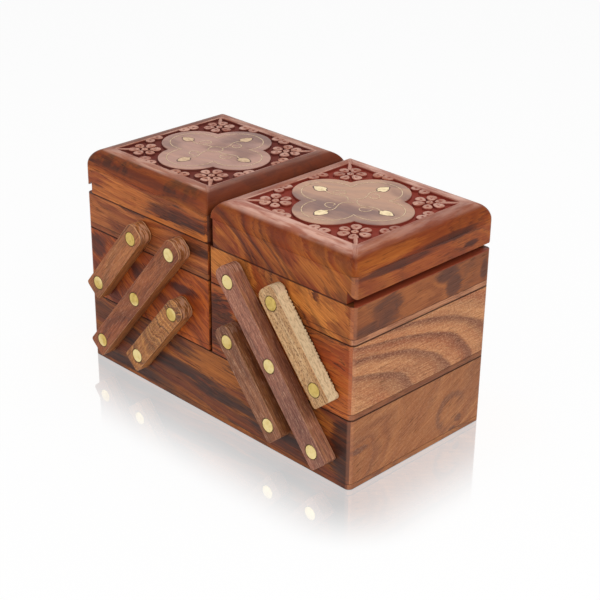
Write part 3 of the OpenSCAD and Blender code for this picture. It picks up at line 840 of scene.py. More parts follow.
# %% Six petals, four corners
flowers = Pattern("corner_flowers", Petal="Object", Boss="Object", Petals="Int", Petal_reach="Float",
                  Flower_reach="Float", Size_spread="Float", Turn_spread="Float", Seed="Int")
petal_points = flowers.add("GeometryNodeMeshCircle", {"Vertices": flowers["Petals"],
                           "Radius": flowers["Petal reach"]})
outward = flowers.add("FunctionNodeAlignRotationToVector",
                      {"Vector": flowers.add("GeometryNodeInputPosition")}, axis="X")
petals = flowers.copies(Points=petal_points, Instance=flowers.form("Petal"), Rotation=outward,
                        Scale=flowers.random(1, "Size spread"))
flower = flowers.add("GeometryNodeJoinGeometry", {"Geometry": flowers.form("Boss")})
flowers.tree.links.new(petals.socket, flower.socket.node.inputs[0])
corner_points = flowers.add("GeometryNodeMeshCircle", {"Vertices": 4,
                            "Radius": flowers["Flower reach"] * math.sqrt(2)})
corners = flowers.add("GeometryNodeTransform", {"Geometry": corner_points, "Rotation": (0, 0, math.pi / 4)})
flowers.finish(flowers.copies(Points=corners, Instance=flower,
                              Rotation=flowers.turn(flowers.random(0, "Turn spread", 5))))

# %% [markdown]
# ## The medallion and the stems
# The medallion is four overlapping circles, so its outline is four arcs that meet in cusps. Drawing it in
# by a small distance only shortens the arcs' radius, which gives the rounded edge for free. From each
# flower a tapered stem runs to the corner of the field, and two buds stand on each side where the flower
# meets the frame.

# %% Four arcs
ARC_STEPS = 28
FLOWER_REACH, PETAL_REACH, PETALS = 27.3, 5.8, 6
BUDS = ((16.0, 36.4), (9.8, 37.4))
CARVE_ROOT = -CARVE_DEPTH - 0.2
MEDALLION_EDGE = ((-0.1, CARVE_ROOT), (0.0, -0.6), (0.06, -0.3), (0.2, -0.1), (0.45, 0.0))
STEM_START, STEM_END = FLOWER_REACH + 4, FIELD_HALF + 0.6
STEM_OFFSETS = ((0, 0.98), (0.5, 0.91), (1, 0.56))
STEM_RIDGE = ((CARVE_ROOT, 1.0), (-0.5, 0.9), (-0.15, 0.45))


def quarter_turned(points, quarter, middle, height):
    """Level points turned round the middle of a lid by some quarters."""
    c, s = ((1, 0), (0, 1), (-1, 0), (0, -1))[quarter]
    return [(middle + c * x - s * y, s * x + c * y, height) for x, y in points]


def quatrefoil_ring(centre_x, inset, height):
    """The medallion's outline, drawn in by inset."""
    radius = LOBE_ROUND - inset
    cusp = (LOBE_REACH + math.sqrt(2 * radius ** 2 - LOBE_REACH ** 2)) / 2
    half_sweep = math.atan2(cusp, cusp - LOBE_REACH)
    angles = [half_sweep * (2 * i / ARC_STEPS - 1) for i in range(ARC_STEPS)]
    lobe = [(LOBE_REACH + radius * math.cos(a), radius * math.sin(a)) for a in angles]
    return [point for quarter in range(4) for point in quarter_turned(lobe, quarter, centre_x, height)]


def medallion(form, centre_x, top):
    skin(form, [quatrefoil_ring(centre_x, inset, top + rise) for inset, rise in MEDALLION_EDGE])


def stem(form, centre_x, top, sx, sy):
    """A ridge from a flower to its corner, wide and low at the flower."""
    rings = []
    for height, width in STEM_RIDGE:
        side = [(STEM_START + (STEM_END - STEM_START) * along, offset * width)
                for along, offset in STEM_OFFSETS]
        ring = [(centre_x + sx * (reach - offset), sy * (reach + offset), top + height)
                for reach, offset in side + [(reach, -offset) for reach, offset in side[::-1]]]
        rings.append(ring if sx * sy < 0 else ring[::-1])
    skin(form, rings)


print("points in the outline:", len(quatrefoil_ring(0, 0, 0)))

# %% [markdown]
# ## The finish of a carved top
# One material covers the whole top board, so masks tell its parts apart. Over the roundover the figure of
# the rails below goes on, under a mottled stain, and it changes from front to end along the mitre. The flat
# margin and the medallion are pale, the medallion most of all: partly the wood rubbed by hands, and partly a
# painted sheen for the light that level polished faces reflect. What lies deep in the field is stained dark
# and left rough from the punch, and the underside is plain wood.

# %% How the two tops look
CARVED_PLAIN = dict(golden="A96D3C", body="86451F", dark="45231A")
CARVED_LOGS = {
    "right": dict(along=(1, 0.15, 0), centre=(30, 122), lean=0.15, waves=1.2, veins=0.45, seed=73.0),
    "left": dict(along=(1, 0.1, 0), centre=(-50, 124), lean=0.1, waves=1.0, veins=0.4, seed=79.0),
}
# The medallion colour, the margin share, the drop and the share kept on the ends set the pale colour of the
# level faces. That colour is partly wear and partly painted sheen.
TOP_LOOKS = {
    "right": dict(field="7C2A1E", medallion="D0AA94", mottle=0.4, stain=0.6, margin=0.74, margin_drop=2.6,
                  ends_rubbed=0.4),
    "left": dict(field="5E231C", medallion="CCA69A", mottle=1.0, stain=0.72, margin=0.5, margin_drop=0.8,
                 ends_rubbed=0.2),
}
print("how far the margins are rubbed:", {half: look["margin"] for half, look in TOP_LOOKS.items()})

# %% The wood of the carved tops
# The rosy paints are the margin's pale colour, partly wear and partly painted sheen.
MOTTLE_PAINTS, ROSY_SHEEN_WEAR_PAINTS, BLOTCH_PAINT = ("6A2A0E", "260E08"), ("DEB0A0", "AC6E5E"), "967C76"
MITRE_BLUR, MITRE_FADE = 2, 9
STAIN_DEPTHS, RAIL_THICKNESS = (0.12, 0.6), (6.0, 6.5)


def carved_wood(half, low, high, middle):
    """The top board's wood, with a mask for each of its parts."""
    look = TOP_LOOKS[half]
    wood = Finish(f"sheesham_{half}_lid_top", Specular_IOR_Level=0.12)
    x, y, z = wood.axes()
    top, out_x, out_y = high.z, (x - middle.x).size(), y.size()
    from_middle = out_x.most(out_y)
    past_mitre = out_x - out_y + (high.y - high.x + middle.x)
    on_end = wood.step(past_mitre, -MITRE_BLUR, MITRE_BLUR)
    near_top = wood.step(z, top - CARVE_DEPTH - 1, top - CARVE_DEPTH - 0.5)
    underside = wood.step(high.y - from_middle, *RAIL_THICKNESS) * (1 - near_top)
    in_field = wood.fade(from_middle, FIELD_HALF + 0.4, FIELD_HALF + 0.7) * near_top
    from_lobe = diagonal(from_middle - LOBE_REACH, out_x.least(out_y))
    on_medallion = wood.fade(from_lobe, LOBE_ROUND, LOBE_ROUND + 0.3)
    # Painted sheen, partly wear: the level faces and the top of the roundover are made pale, less so past the
    # mitre.
    sheen_wear_off = wood.step(past_mitre, -MITRE_FADE, MITRE_FADE) * (1 - look["ends_rubbed"])
    flat_sheen_wear = (wood.step(z, top - look["margin_drop"], top - 0.1) * (1 - sheen_wear_off)).most(in_field)
    deep = wood.step((top - z) * in_field, *STAIN_DEPTHS)

    plain, pore, fibre = figure(wood, **CARVED_PLAIN, **CARVED_LOGS[half])
    on_front, on_ends = (figure(wood, **RAIL_LOGS[f"{half}_lid_{rails}_rails"])[0]
                         for rails in ("long", "end"))
    mottle = wood.step(wood.noise(x * 0.09, y * 0.09, z * 0.05 + 4, 3, 0.6), 0.42, 0.58) * (1 - on_end * 0.7)
    stain = wood.mix(mottle * look["mottle"], *MOTTLE_PAINTS)
    stained = wood.step(z, low.z - 2, top - 2) * look["stain"]
    sides = wood.layers(on_front, (on_end, on_ends), (stained, stain), (underside, plain))
    blotch = wood.noise(x * 0.025 + len(half) * 3, y * 0.03, z * 0.02, 3, 0.5)
    streak = wood.noise(x * (on_end * 0.2 + 0.05) + 9, y * (0.25 - on_end * 0.2), z * 0.2, 3, 0.6)
    pale = wood.mix(wood.step(blotch, 0.44, 0.60), look["medallion"], BLOTCH_PAINT)
    rosy_sheen_wear = wood.mix(wood.step(streak, 0.38, 0.62), *ROSY_SHEEN_WEAR_PAINTS)
    rubbed = in_field * 0.6 + (1 - in_field) * look["margin"]
    flat = wood.mix(rubbed, plain, wood.mix(on_medallion, rosy_sheen_wear, pale))
    wood.set(Base_Color=wood.layers(sides, (flat_sheen_wear, flat), (deep * 0.95, look["field"])),
             Roughness=pore * 0.15 + fibre * 0.08 + deep * 0.3 + 0.36)
    punched = wood.noise(x * 1.1, y * 1.1, z * 1.1, 1) * deep
    wood.bump(fibre * 0.25 + punched * 2, 0.12, 0.6)
    return wood


print("the field is dark from", STAIN_DEPTHS[1], "mm down")

# %% Lid tops
for half, side in SIDES.items():
    node = f"{half}_lid_top"
    low, high, middle = box_in_mm(node)
    wood = carved_wood(half, low, high, middle)
    form = skin(bmesh.new(), top_rings(low, high, middle))
    medallion(form, middle.x, high.z)
    for sx, sy in CORNERS:
        stem(form, middle.x, high.z, sx, sy)
    spots = [(sx * a, sy * b, 0) for out, near in BUDS for a, b in ((out, near), (near, out))
             for sx in (1, -1) for sy in (1, -1)]
    relief = (
        flowers.grow(bpy.data.meshes.new("flowers"), wood, Petal=petal, Boss=boss, Petals=PETALS,
                     Petal_reach=PETAL_REACH * MM, Flower_reach=FLOWER_REACH * MM, Size_spread=0.06,
                     Turn_spread=0.25, Seed=3 + side),
        set_down.grow(points_mesh("buds", spots, [UP] * len(spots)), wood, Form=bud, Size_spread=0.06,
                      Spin=3.1, Seed=11 + side),
    )
    for mesh in relief:
        mesh.transform(Matrix.Translation(Vector((middle.x, 0, high.z - CARVE_DEPTH)) * MM))
        form.from_mesh(mesh)
    bmesh.ops.recalc_face_normals(form, faces=form.faces)
    piece = show(f"{node}_wood", form, BODY_OF[node], wood, "carved_top", [node], smooth=40)
    print(node, "faces:", len(piece.data.polygons))

# %% [markdown]
# ## Brass wire and brass leaves
# The inlay is flat wire, hammered into a knife cut, and four small leaves cut from sheet. The gap round
# each is filled with dark lac. A wire follows a path, so a tree sweeps a flat section along curves: narrow
# for the brass, and a little wider and lower for the lac. The leaves are cut by hand, so no two outlines
# are quite the same.


# %% Brass and lac
def brass(name, bright, dull, roughness, scratch, tarnish=0.5, paler=None):
    """Old brass: bright where it is rubbed, duller in soft patches, and now and then a piece is paler."""
    metal = Finish(name, Metallic=1.0)
    x, y, z = metal.axes()
    patch = metal.step(metal.noise(x * 0.35, y * 0.35, z * 0.35, 4, 0.6), 0.42, 0.68)
    lines = metal.noise(x * 0.8, y * 4, z * 9, 3)
    colour = metal.mix(patch * tarnish, bright, dull)
    if paler:
        place = metal.step(metal.noise(x * 0.045 + 7, y * 0.03, z * 0.045, 0), 0.44, 0.56)
        colour = metal.mix(place, colour, metal.mix(patch * tarnish, paler, bright))
    metal.set(Base_Color=colour, Roughness=patch * 0.15 + lines * scratch + roughness)
    metal.bump(lines * 0.4 + patch * 0.5, 0.03, 0.2)
    return metal


LEAF_BRASS = {"right": brass("right_leaf_brass", "E2D0AC", "A68E6E", 0.5, 0.2),
              "left": brass("left_leaf_brass", "C8AE90", "8F7862", 0.55, 0.2)}
wire_brass = brass("wire_brass", "D8C0A0", "A08468", 0.45, 0.2, tarnish=0.6)
lac = Finish("lac", Roughness=0.5)
lac.set(Base_Color=lac.mix(lac.noise(*(way * 0.6 for way in lac.axes())), "3A1C12", "6A4230"))
print("nodes in the wires' brass:", len(wire_brass.tree.nodes))

# %% A flat section along a curve
let_in = Pattern("wire_along_curves", Width="Float", Depth="Float")
section = let_in.add("GeometryNodeCurvePrimitiveQuadrilateral", {"Width": let_in["Width"],
                     "Height": let_in["Depth"]})
level = let_in.add("GeometryNodeSetCurveNormal", {"Curve": let_in["Carrier"]}, mode="Z_UP")
swept = {"Curve": level, "Profile Curve": section, "Fill Caps": True}
let_in.finish(let_in.add("GeometryNodeCurveToMesh", swept))


def curves_data(name, paths):
    """Poly curves. Each path is (points, whether it closes)."""
    data = bpy.data.curves.new(name, "CURVE")
    data.dimensions = "3D"
    for points, closed in paths:
        spline = data.splines.new("POLY")
        spline.points.add(len(points) - 1)
        for target, point in zip(spline.points, points):
            target.co = (*[x * MM for x in point], 1)
        spline.use_cyclic_u = closed
    return data

# %% Scrolls, drawn on one arm and turned four times
WIRE_WIDTH, WIRE_DEPTH, WIRE_INSET, WIRE_RISE = 0.4, 0.8, 4.5, 0.06
PATH_STEPS, RING_STEPS = 10, 40
ARM_STEM = [(18.6, 0.1), (16.2, 1.1), (13.4, 0.9), (10.4, -0.5), (7.6, -1.5), (5.2, -1.3)]
ARM_HOOK = [(14.6, -0.9), (15.1, -3.4), (13.6, -6.2), (11.0, -6.6), (9.3, -4.6), (9.9, -2.6), (11.6, -2.4)]
CENTRE_ENDS = {"right": [(2.8, 0.2), (1.4, 2.0)], "left": [(3.9, -1.2)]}
CENTRE_RING = {"right": None, "left": 4.1}


def smooth_path(marks):
    """Points on one smooth curve through the marks."""
    marks = [2 * np.array(marks[0]) - marks[1], *map(np.array, marks), 2 * np.array(marks[-1]) - marks[-2]]
    points = []
    for a, b, c, d in zip(marks, marks[1:], marks[2:], marks[3:]):
        for t in np.arange(PATH_STEPS) / PATH_STEPS:
            points.append(0.5 * (2 * b + (c - a) * t + (2 * a - 5 * b + 4 * c - d) * t ** 2
                                 + (3 * b - a - 3 * c + d) * t ** 3))
    return [*points, marks[-2]]


def scroll_paths(half, middle, height):
    paths = [(quatrefoil_ring(middle, WIRE_INSET + WIRE_WIDTH / 2, height), True)]
    for quarter in range(4):
        for marks in (ARM_STEM + CENTRE_ENDS[half], ARM_HOOK):
            paths.append((quarter_turned(smooth_path(marks), quarter, middle, height), False))
    if CENTRE_RING[half]:
        angles = [2 * math.pi * i / RING_STEPS for i in range(RING_STEPS)]
        ring = [(CENTRE_RING[half] * math.cos(a), CENTRE_RING[half] * math.sin(a)) for a in angles]
        paths.append((quarter_turned(ring, 0, middle, height), True))
    return paths


print("points on a stem:", len(smooth_path(ARM_STEM)))

# %% Leaves cut from sheet
LEAF_OUTLINE = [(-4.4, 0.5), (-3.3, 0.9), (-2.9, 2.3), (-1.4, 2.9), (0.6, 2.7), (2.2, 1.9), (3.1, 1.0),
                (4.1, 0.15)]
LEAF_REACH, LEAF_TIPS, LEAF_DEPTH, LEAF_BEVEL, LEAF_WOBBLE = 23.0, 3, 0.8, 0.03, 0.2
LAC_RIM, LAC_GAP, LAC_DROP = 0.55, 0.2, 0.03
leaf_rng = np.random.default_rng(5)


def leaf_side(way, shifts, grow):
    """The points along one side of a leaf, each with a shift of its own, all moved out by grow."""
    side = []
    for (x, y), shift in zip(LEAF_OUTLINE, shifts):
        past_tip = math.copysign(grow, x) * (abs(x) > LEAF_TIPS)
        side.append((LEAF_REACH + x + shift[0] + past_tip, way * (y + shift[1] + grow)))
    return side


def leaf(form, middle, top, quarter, grow, rise, wobble):
    """A leaf that points outwards, grown by a rim, with its face a little above the wood."""
    cut_line = np.array(leaf_side(-1, wobble[::-1], grow) + leaf_side(1, wobble, grow)[::-1])
    centre = cut_line.mean(axis=0)
    skin(form, [quarter_turned(centre + (cut_line - centre) * share, quarter, middle, top + height)
                for share, height in ((1, -LEAF_DEPTH), (1, rise - LEAF_BEVEL), (0.95, rise))])


for half in SIDES:
    node = f"{half}_lid_inlay"
    high, middle = box_in_mm(f"{half}_lid_top")[1:]
    middle, top = middle.x, high.z
    wires, fill = (
        let_in.grow(curves_data(name, scroll_paths(half, middle, top - WIRE_DEPTH / 2 + WIRE_RISE - drop)),
                    finish, Width=(WIRE_WIDTH + gap) * MM, Depth=WIRE_DEPTH * MM)
        for name, finish, drop, gap in (("wires", wire_brass, 0, 0), ("fill", lac, LAC_DROP, LAC_GAP)))
    plates, rims = bmesh.new(), bmesh.new()
    rims.from_mesh(fill)
    for quarter in range(4):
        wobble = leaf_rng.uniform(-LEAF_WOBBLE, LEAF_WOBBLE, (len(LEAF_OUTLINE), 2))
        leaf(plates, middle, top, quarter, 0.0, 0.1, wobble)
        leaf(rims, middle, top, quarter, LAC_RIM, 0.04, wobble)
    for form in (plates, rims):
        bmesh.ops.recalc_face_normals(form, faces=form.faces)
    show(f"{half}_lid_leaves", plates, BODY_OF[node], LEAF_BRASS[half], "brass_inlay", [node])
    show(f"{half}_lid_lac", rims, BODY_OF[node], lac, "brass_inlay")
    wire_piece = show(f"{half}_lid_wire", wires, BODY_OF[node], wire_brass, "brass_inlay")
    print(node, "wire faces:", len(wire_piece.data.polygons))

# %% [markdown]
# ## Levers
# The levers are sawn bars with their long edges rubbed down. They came from offcuts, so each kind has its own
# colour: speckled cream ones that are nearly all sapwood, mauve ones, and plain brown ones. The grain runs
# along each bar, which leans by 50 degrees, so the log is turned to match. The sides keep the marks of the
# saw, a pale line along each edge is partly wear and partly a painted highlight, and polish has gathered in a
# dark ring round each pin. The cream ones were torn by the saw along one edge.

# %% Pin places, measured from the solids
PINS = {f"{box}_pins": [box_of(corners) for corners in islands(welded(f"{box}_pins"))] for box in BOXES}
PIN_CENTRES = sorted({(round((low.x + high.x) / 2, 5), round((low.z + high.z) / 2, 5))
                      for boxes in PINS.values() for low, high in boxes})
PIN_LOW, PIN_HIGH = (corner / MM for corner in PINS["base_pins"][0])
HEAD_RADIUS, PIN_LENGTH = (PIN_HIGH.x - PIN_LOW.x) / 2, PIN_HIGH.y - PIN_LOW.y
print("pins:", sum(map(len, PINS.values())), "head radius in mm:", round(HEAD_RADIUS, 2))

# %% How the levers look
TORN = dict(side="DEC8A0", side_share=0.8, saw_share=0.35, along_saw=0.4, across_saw=0.9, edge_line=0.15,
            streaks=0.3)
SAWN = dict(side="AC783E", side_share=0.1, saw_share=0.6, along_saw=0.08, across_saw=1.3, edge_line=0.2,
            streaks=0.5)
RUBBED = dict(SAWN, side="C4824C", side_share=0.5, edge_line=0.5, streaks=0.2)
LEVER_PLAIN = dict(lean=0.05, waves=0.5, rings=1.8, veins=0.35, gloss=0.25)
LEVER_WOODS = {
    ("right", "upper"): ("pale_lever", 0.8, TORN, dict(
        golden="E2BE8E", body="CA9E6C", dark="70492E", veins=0.2, lines=0.3, clouds=0.3, seed=5.0,
        polish=0.55)),
    ("right", "long"): ("dark_lever", 0.5, SAWN, dict(
        golden="BA7E64", body="A06650", dark="5A352E", seed=17.0)),
    ("right", "lower"): ("brown_lever", 0.4, SAWN, dict(
        golden="AE7550", body="925838", dark="5A3626", seed=23.0)),
    ("left", "long"): ("dark_lever", 0.25, RUBBED, dict(
        golden="B26838", body="984E26", dark="582C16", seed=29.0)),
    ("left", "upper"): ("brown_lever", 0.3, RUBBED, dict(
        golden="BE7A44", body="A66032", dark="5E3820", seed=37.0)),
    ("left", "lower"): ("brown_lever", 0.1, RUBBED, dict(
        golden="D4944E", body="A0602F", dark="4A2814", veins=0.7, lines=1.0, lean=0.7, waves=1.4, rings=2.6,
        seed=43.0)),
}
print("speckle of each lever:", {" ".join(lever): row[1] for lever, row in LEVER_WOODS.items()})

# %% Lever woods
STREAK_PAINT, END_GRAIN_PAINT, EDGE_WEAR_AND_HIGHLIGHT, RING_PAINT = "D9AC8C", "C29A84", "DDA878", "4A3418"
SIDE_SKIN, TOP_HATCH = (0.2, 0.5), (5, 7)
EDGE_LINE, LINE_BELOW = (0.02, 0.1, 0.5, 0.7), (0.6, 0.8, 1.1, 1.5)


def polish_ring(wood, x, z, low, high):
    """1 in the dark ring round each pin of a lever."""
    ring = 0.0
    for pin_x, pin_z in PIN_CENTRES:
        pin_x, pin_z = pin_x / MM, pin_z / MM
        if low.x < pin_x < high.x and low.z < pin_z < high.z:
            ring = wood.fade(diagonal(x - pin_x, z - pin_z) - HEAD_RADIUS, 0.1, 1.0).most(ring)
    return ring


def lever_wood(node, way, speckle, sides, **log):
    """Sawn wood, with dots on the broad faces, a pale line along each edge that is partly wear and partly a
    painted highlight, hatched end grain at the top and a dark ring round each pin."""
    wood = sheesham(f"sheesham_{node}", **log)
    x, y, z = wood.axes()
    low, high, middle = box_in_mm(node)
    top_end = max(v.co.dot(Vector(way)) for v in frame["nodes"][node].data.vertices) / MM
    from_face = high.y - middle.y - (y - middle.y).size()
    run, over = wood.along(way), wood.along(grain_axes(way)[2])
    on_side = wood.step(from_face, *SIDE_SKIN)
    on_top = on_side * wood.fade(top_end - run, *TOP_HATCH)
    grit = wood.noise(run * 0.7, over * 1.3, y * 1.3 + 7, 3, 0.7)
    streak = wood.noise(run * 0.2, over * 2.0, y * 2.0 + 3, 3, 0.7)
    saw = wood.noise(run * sides["along_saw"], y * sides["across_saw"], over * 0.2, 4, 0.7)
    layer = wood.noise(run * 0.1, over * 0.25, y * 1.1, 3)
    dark = log["dark"]
    wood.overlay(
        (wood.step(streak, 0.52, 0.68) * sides["streaks"], STREAK_PAINT),
        (wood.fade(streak, 0.34, 0.46) * sides["streaks"], dark),
        (wood.step(grit, 0.50, 0.62) * (1 - on_side) * speckle, dark),
        (on_side * sides["side_share"], sides["side"]),
        (on_side * wood.step(saw, 0.48, 0.60) * sides["saw_share"], dark),
        (on_side * wood.fade(saw, 0.36, 0.44) * 0.4, sides["side"]),
        (on_top * wood.step(layer, 0.5, 0.56) * 0.45, END_GRAIN_PAINT),
        (on_top * wood.fade(layer, 0.44, 0.5) * 0.5, dark),
        # A pale line along each edge, partly wear and partly a painted highlight.
        (wood.band(from_face, *EDGE_LINE) * wood.step(grit, 0.35, 0.5) * sides["edge_line"], EDGE_WEAR_AND_HIGHLIGHT),
        (wood.band(from_face, *LINE_BELOW) * sides["edge_line"], dark),
        (polish_ring(wood, x, z, low, high) * 0.55, RING_PAINT),
    )
    wood.bump(saw * on_side + grit * 0.8, 0.15, 0.7)
    return wood


print("places with a dark ring:", len(PIN_CENTRES))

# %% Lever shapes
LEAN = math.radians(50)
LEVER_EASE, HOLE_EASE, HOLE_REACH = 0.3, 0.12, 1.25
LONG_EDGE, TEETH, TOOTH_DEPTH, NEARLY = 20 * MM, 64, 1.2 * MM, 0.1 * MM
BACK_SEED, LOG_PLACE = 7.7, (-6, 12)
saw_rng = np.random.default_rng(8)


def tear(form, box, outwards):
    """Cuts small teeth into the outward long edge that lies beside the box, and gives their corners."""
    beside = min(abs(box[0].y), abs(box[1].y))

    def at_box(vert):
        return abs(abs(vert.co.y) - beside) < NEARLY

    long_edges = [e for e in form.edges if e.calc_length() > LONG_EDGE and all(map(at_box, e.verts))]
    edge = max(long_edges, key=lambda e: sum(v.co.x for v in e.verts) * outwards)
    side = min(edge.link_faces, key=lambda face: abs(face.normal.y))
    facing = max((e for e in side.edges if e is not edge), key=lambda e: e.calc_length())
    made = bmesh.ops.subdivide_edges(form, edges=[edge, facing], cuts=TEETH, use_grid_fill=True)["geom_inner"]
    torn = sorted((v for v in made if isinstance(v, bmesh.types.BMVert) and at_box(v)), key=lambda v: v.co.z)
    away = math.copysign(1, box[0].y)
    for count, vert in enumerate(torn):
        vert.co.y += away * TOOTH_DEPTH * (saw_rng.uniform(0, 0.4) + 0.6 * (count % 2))
        vert.co.x -= outwards * TOOTH_DEPTH * saw_rng.uniform(0, 0.3)
    return set(torn)


def rim_of_hole(edge):
    middle = (edge.verts[0].co + edge.verts[1].co) / 2
    near = min(math.hypot(middle.x - x, middle.z - z) for x, z in PIN_CENTRES)
    return near < HEAD_RADIUS * MM * HOLE_REACH


def outline(edge):
    return not rim_of_hole(edge) and abs(edge.verts[0].co.y - edge.verts[1].co.y) < NEARLY


for (half, name), (slot, speckle, sides, log) in LEVER_WOODS.items():
    side = SIDES[half]
    way = (-side * math.cos(LEAN), 0, math.sin(LEAN))
    for face in ("front", "back"):
        node = f"{half}_{face}_{name}_lever"
        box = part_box(node)
        centre = (box[0].y / MM + LOG_PLACE[0], LOG_PLACE[1])
        cut = dict(LEVER_PLAIN, along=way, centre=centre) | log
        cut["seed"] += BACK_SEED * (face == "back")
        wood = lever_wood(node, way, speckle, sides, **cut)
        form = welded(node)
        torn = tear(form, box, side) if slot == "pale_lever" else set()
        whole_outline = [e for e in form.edges if sharp(e) and outline(e) and not torn & set(e.verts)]
        ease(form, whole_outline, LEVER_EASE, 2)
        ease(form, [e for e in form.edges if sharp(e) and rim_of_hole(e)], HOLE_EASE, 1)
        show(f"{node}_wood", form, BODY_OF[node], wood, slot, [node])
print("levers:", 2 * len(LEVER_WOODS))

# %% [markdown]
# ## Pins
# The pins are brass rod with turned heads that lie flush with the levers. All are alike, so one head and
# shank is modelled, and the pattern of forms on points sets it down and gives each a turn of its own, which
# varies the scratches.

# %% One pin
PIN_AROUND, SHANK_RADIUS, SHANK_LENGTH = 40, 2.0, PIN_LENGTH - 3.0
pin = master("pin", turned_form([
    (SHANK_RADIUS - 0.3, 0), (SHANK_RADIUS, 0.3), (SHANK_RADIUS, SHANK_LENGTH), (HEAD_RADIUS, SHANK_LENGTH),
    (HEAD_RADIUS, PIN_LENGTH - 0.25), (HEAD_RADIUS - 0.08, PIN_LENGTH - 0.1), (HEAD_RADIUS - 0.3, PIN_LENGTH),
    (HEAD_RADIUS * 0.5, PIN_LENGTH + 0.06), (0.2, PIN_LENGTH + 0.07),
], around=PIN_AROUND))
pin_brass = brass("pin_brass", "D0B468", "A88E48", 0.36, 0.2, paler="E2CE94")

for node, boxes in PINS.items():
    places, facings = [], []
    for low, high in boxes:
        outward = math.copysign(1, low.y + high.y)
        root = low.y if outward > 0 else high.y
        places.append(Vector(((low.x + high.x) / 2, root, (low.z + high.z) / 2)) / MM)
        facings.append((0, outward, 0))
    mesh = set_down.grow(points_mesh(node, places, facings), pin_brass, Form=pin, Spin=3.1, Seed=len(places))
    show(f"{node}_brass", mesh, BODY_OF[node], pin_brass, "brass_pins", [node])
print("length of a pin in mm:", round(PIN_LENGTH, 2))

# %% [markdown]
# ## Lid hinges
# The hinges are small brass butts. Their leaves and barrels are the solids with eased edges. The screws are
# made again, because a real countersunk screw has a slot, and they are set down on points like the pins.
# Among the separate solids of a hinge, a screw is told from a leaf by its short box.

# %% A slotted screw
SCREW_HEAD, HEAD_DROP, SCREW_SHANK, SCREW_TIP, SCREW_LENGTH = 1.3, 0.4, 0.6, 0.3, 6.0
SLOT_LENGTH, SLOT_WIDTH, SLOT_DEPTH = 4, 0.4, 0.22


def slotted_screw():
    """A screw with its face at height 0 and a slot cut across it."""
    rod = master("screw", turned_form([
        (SCREW_TIP, -SCREW_LENGTH), (SCREW_SHANK, 0.8 - SCREW_LENGTH), (SCREW_SHANK, -HEAD_DROP),
        (SCREW_HEAD, -HEAD_DROP), (SCREW_HEAD, -0.05), (SCREW_HEAD - 0.05, 0),
    ]))
    form = bmesh.new()
    slot = Matrix.Diagonal((SLOT_LENGTH * MM, SLOT_WIDTH * MM, 2 * SLOT_DEPTH * MM, 1))
    bmesh.ops.create_cube(form, size=1, matrix=slot)
    blade = master("blade", form)
    cut = rod.modifiers.new("slot", "BOOLEAN")
    cut.object, cut.operation, cut.solver = blade, "DIFFERENCE", "EXACT"
    for part in (rod, blade):
        in_scene(part)
    rod.data = evaluated_mesh(rod)
    rod.modifiers.clear()
    bpy.data.objects.remove(blade)
    bpy.context.scene.collection.objects.unlink(rod)
    return rod


screw = slotted_screw()
hinge_brass = brass("hinge_brass", "DDB870", "A07A3E", 0.35, 0.25)
print("faces in a screw:", len(screw.data.polygons))

# %% Leaves, barrels and screws
LEAF_EASE = 0.08

for half in SIDES:
    for tier, up in (("upper", 1), ("lid", -1)):
        node = f"{half}_{tier}_hinges"
        form = welded(node)
        places = []
        for corners in list(islands(form)):
            low, high = box_of(corners)
            if max(high - low) < SCREW_LENGTH * 1.1 * MM:
                face_z = high.z if up > 0 else low.z
                places.append(Vector(((low.x + high.x) / 2, (low.y + high.y) / 2, face_z)) / MM)
                bmesh.ops.delete(form, geom=corners, context="VERTS")
        ease(form, [e for e in form.edges if sharp(e) and e.calc_length() > MM], LEAF_EASE, 1)
        show(f"{node}_leaves", form, BODY_OF[node], hinge_brass, "hinge_brass", [node])
        mesh = set_down.grow(points_mesh(node, places, [(0, 0, up)] * len(places)), hinge_brass, Form=screw,
                             Spin=1.5, Seed=len(half) + up)
        show(f"{node}_screws", mesh, BODY_OF[node], hinge_brass, "hinge_brass")
        print(node, "screws:", len(places))

for spare in (petal, boss, bud, pin, screw):
    bpy.data.objects.remove(spare)

# %% [markdown]
# ## Velvet linings
# Each tray holds a card that is padded a little and wrapped in dark red velvet. The card is flat below, the
# pile rolls over its edges, and the top is slightly crowned and uneven. It is a stack of rounded rectangles
# again, drawn in towards the middle, with a slow ripple added. Velvet looks darker where the pile is seen
# from above and paler at its edges, which the shader's sheen does.

# %% Velvet
velvet = Finish("velvet", Roughness=0.95, Sheen_Weight=0.7, Sheen_Roughness=0.4, Sheen_Tint="E04850",
                Specular_IOR_Level=0.1)
x, y, z = velvet.axes()
nap = velvet.noise(x * 0.06, y * 0.06, z * 0.06, 3)
pile = velvet.noise(x * 3, y * 3, z * 3, 2)
velvet.set(Base_Color=velvet.mix(velvet.step(nap, 0.35, 0.65) * 0.6 + pile * 0.3, "5E0A12", "8C1A22"))
velvet.bump(pile, 0.25, 0.6)
print("nodes in the velvet:", len(velvet.tree.nodes))

# %% Padded cards
PILE_RINGS = [(0.5, 0.0), (0.15, 0.25), (0.0, 0.7), (0.1, 1.2), (0.5, 1.6), (1.3, 1.85), (3, 2.0), (6, 2.12),
              (10, 2.2), (15, 2.26), (21, 2.3), (27, 2.32)]
CARD_CORNER, CARD_LEAST, RIPPLE_FROM, RIPPLE = 2.5, 0.8, 1.5, 0.09


def card_ring(low, high, middle, inset, height):
    """One ring of a padded card. In the upper rings a slow wave keeps the crown from looking machined."""
    radius = max(CARD_CORNER - inset * 0.4, CARD_LEAST)
    ring = rectangle_ring(middle.x, high.x - middle.x - inset, high.y - middle.y - inset, radius, height)
    rippled = []
    for x, y, z in ring:
        a, b = x * 0.11, y * 0.13
        wave = RIPPLE * (math.sin(a + 0.7 * b) + math.sin(1.7 * b - 0.6 * a + 1))
        rippled.append((x, y, low.z + z + wave * (z > RIPPLE_FROM)))
    return rippled


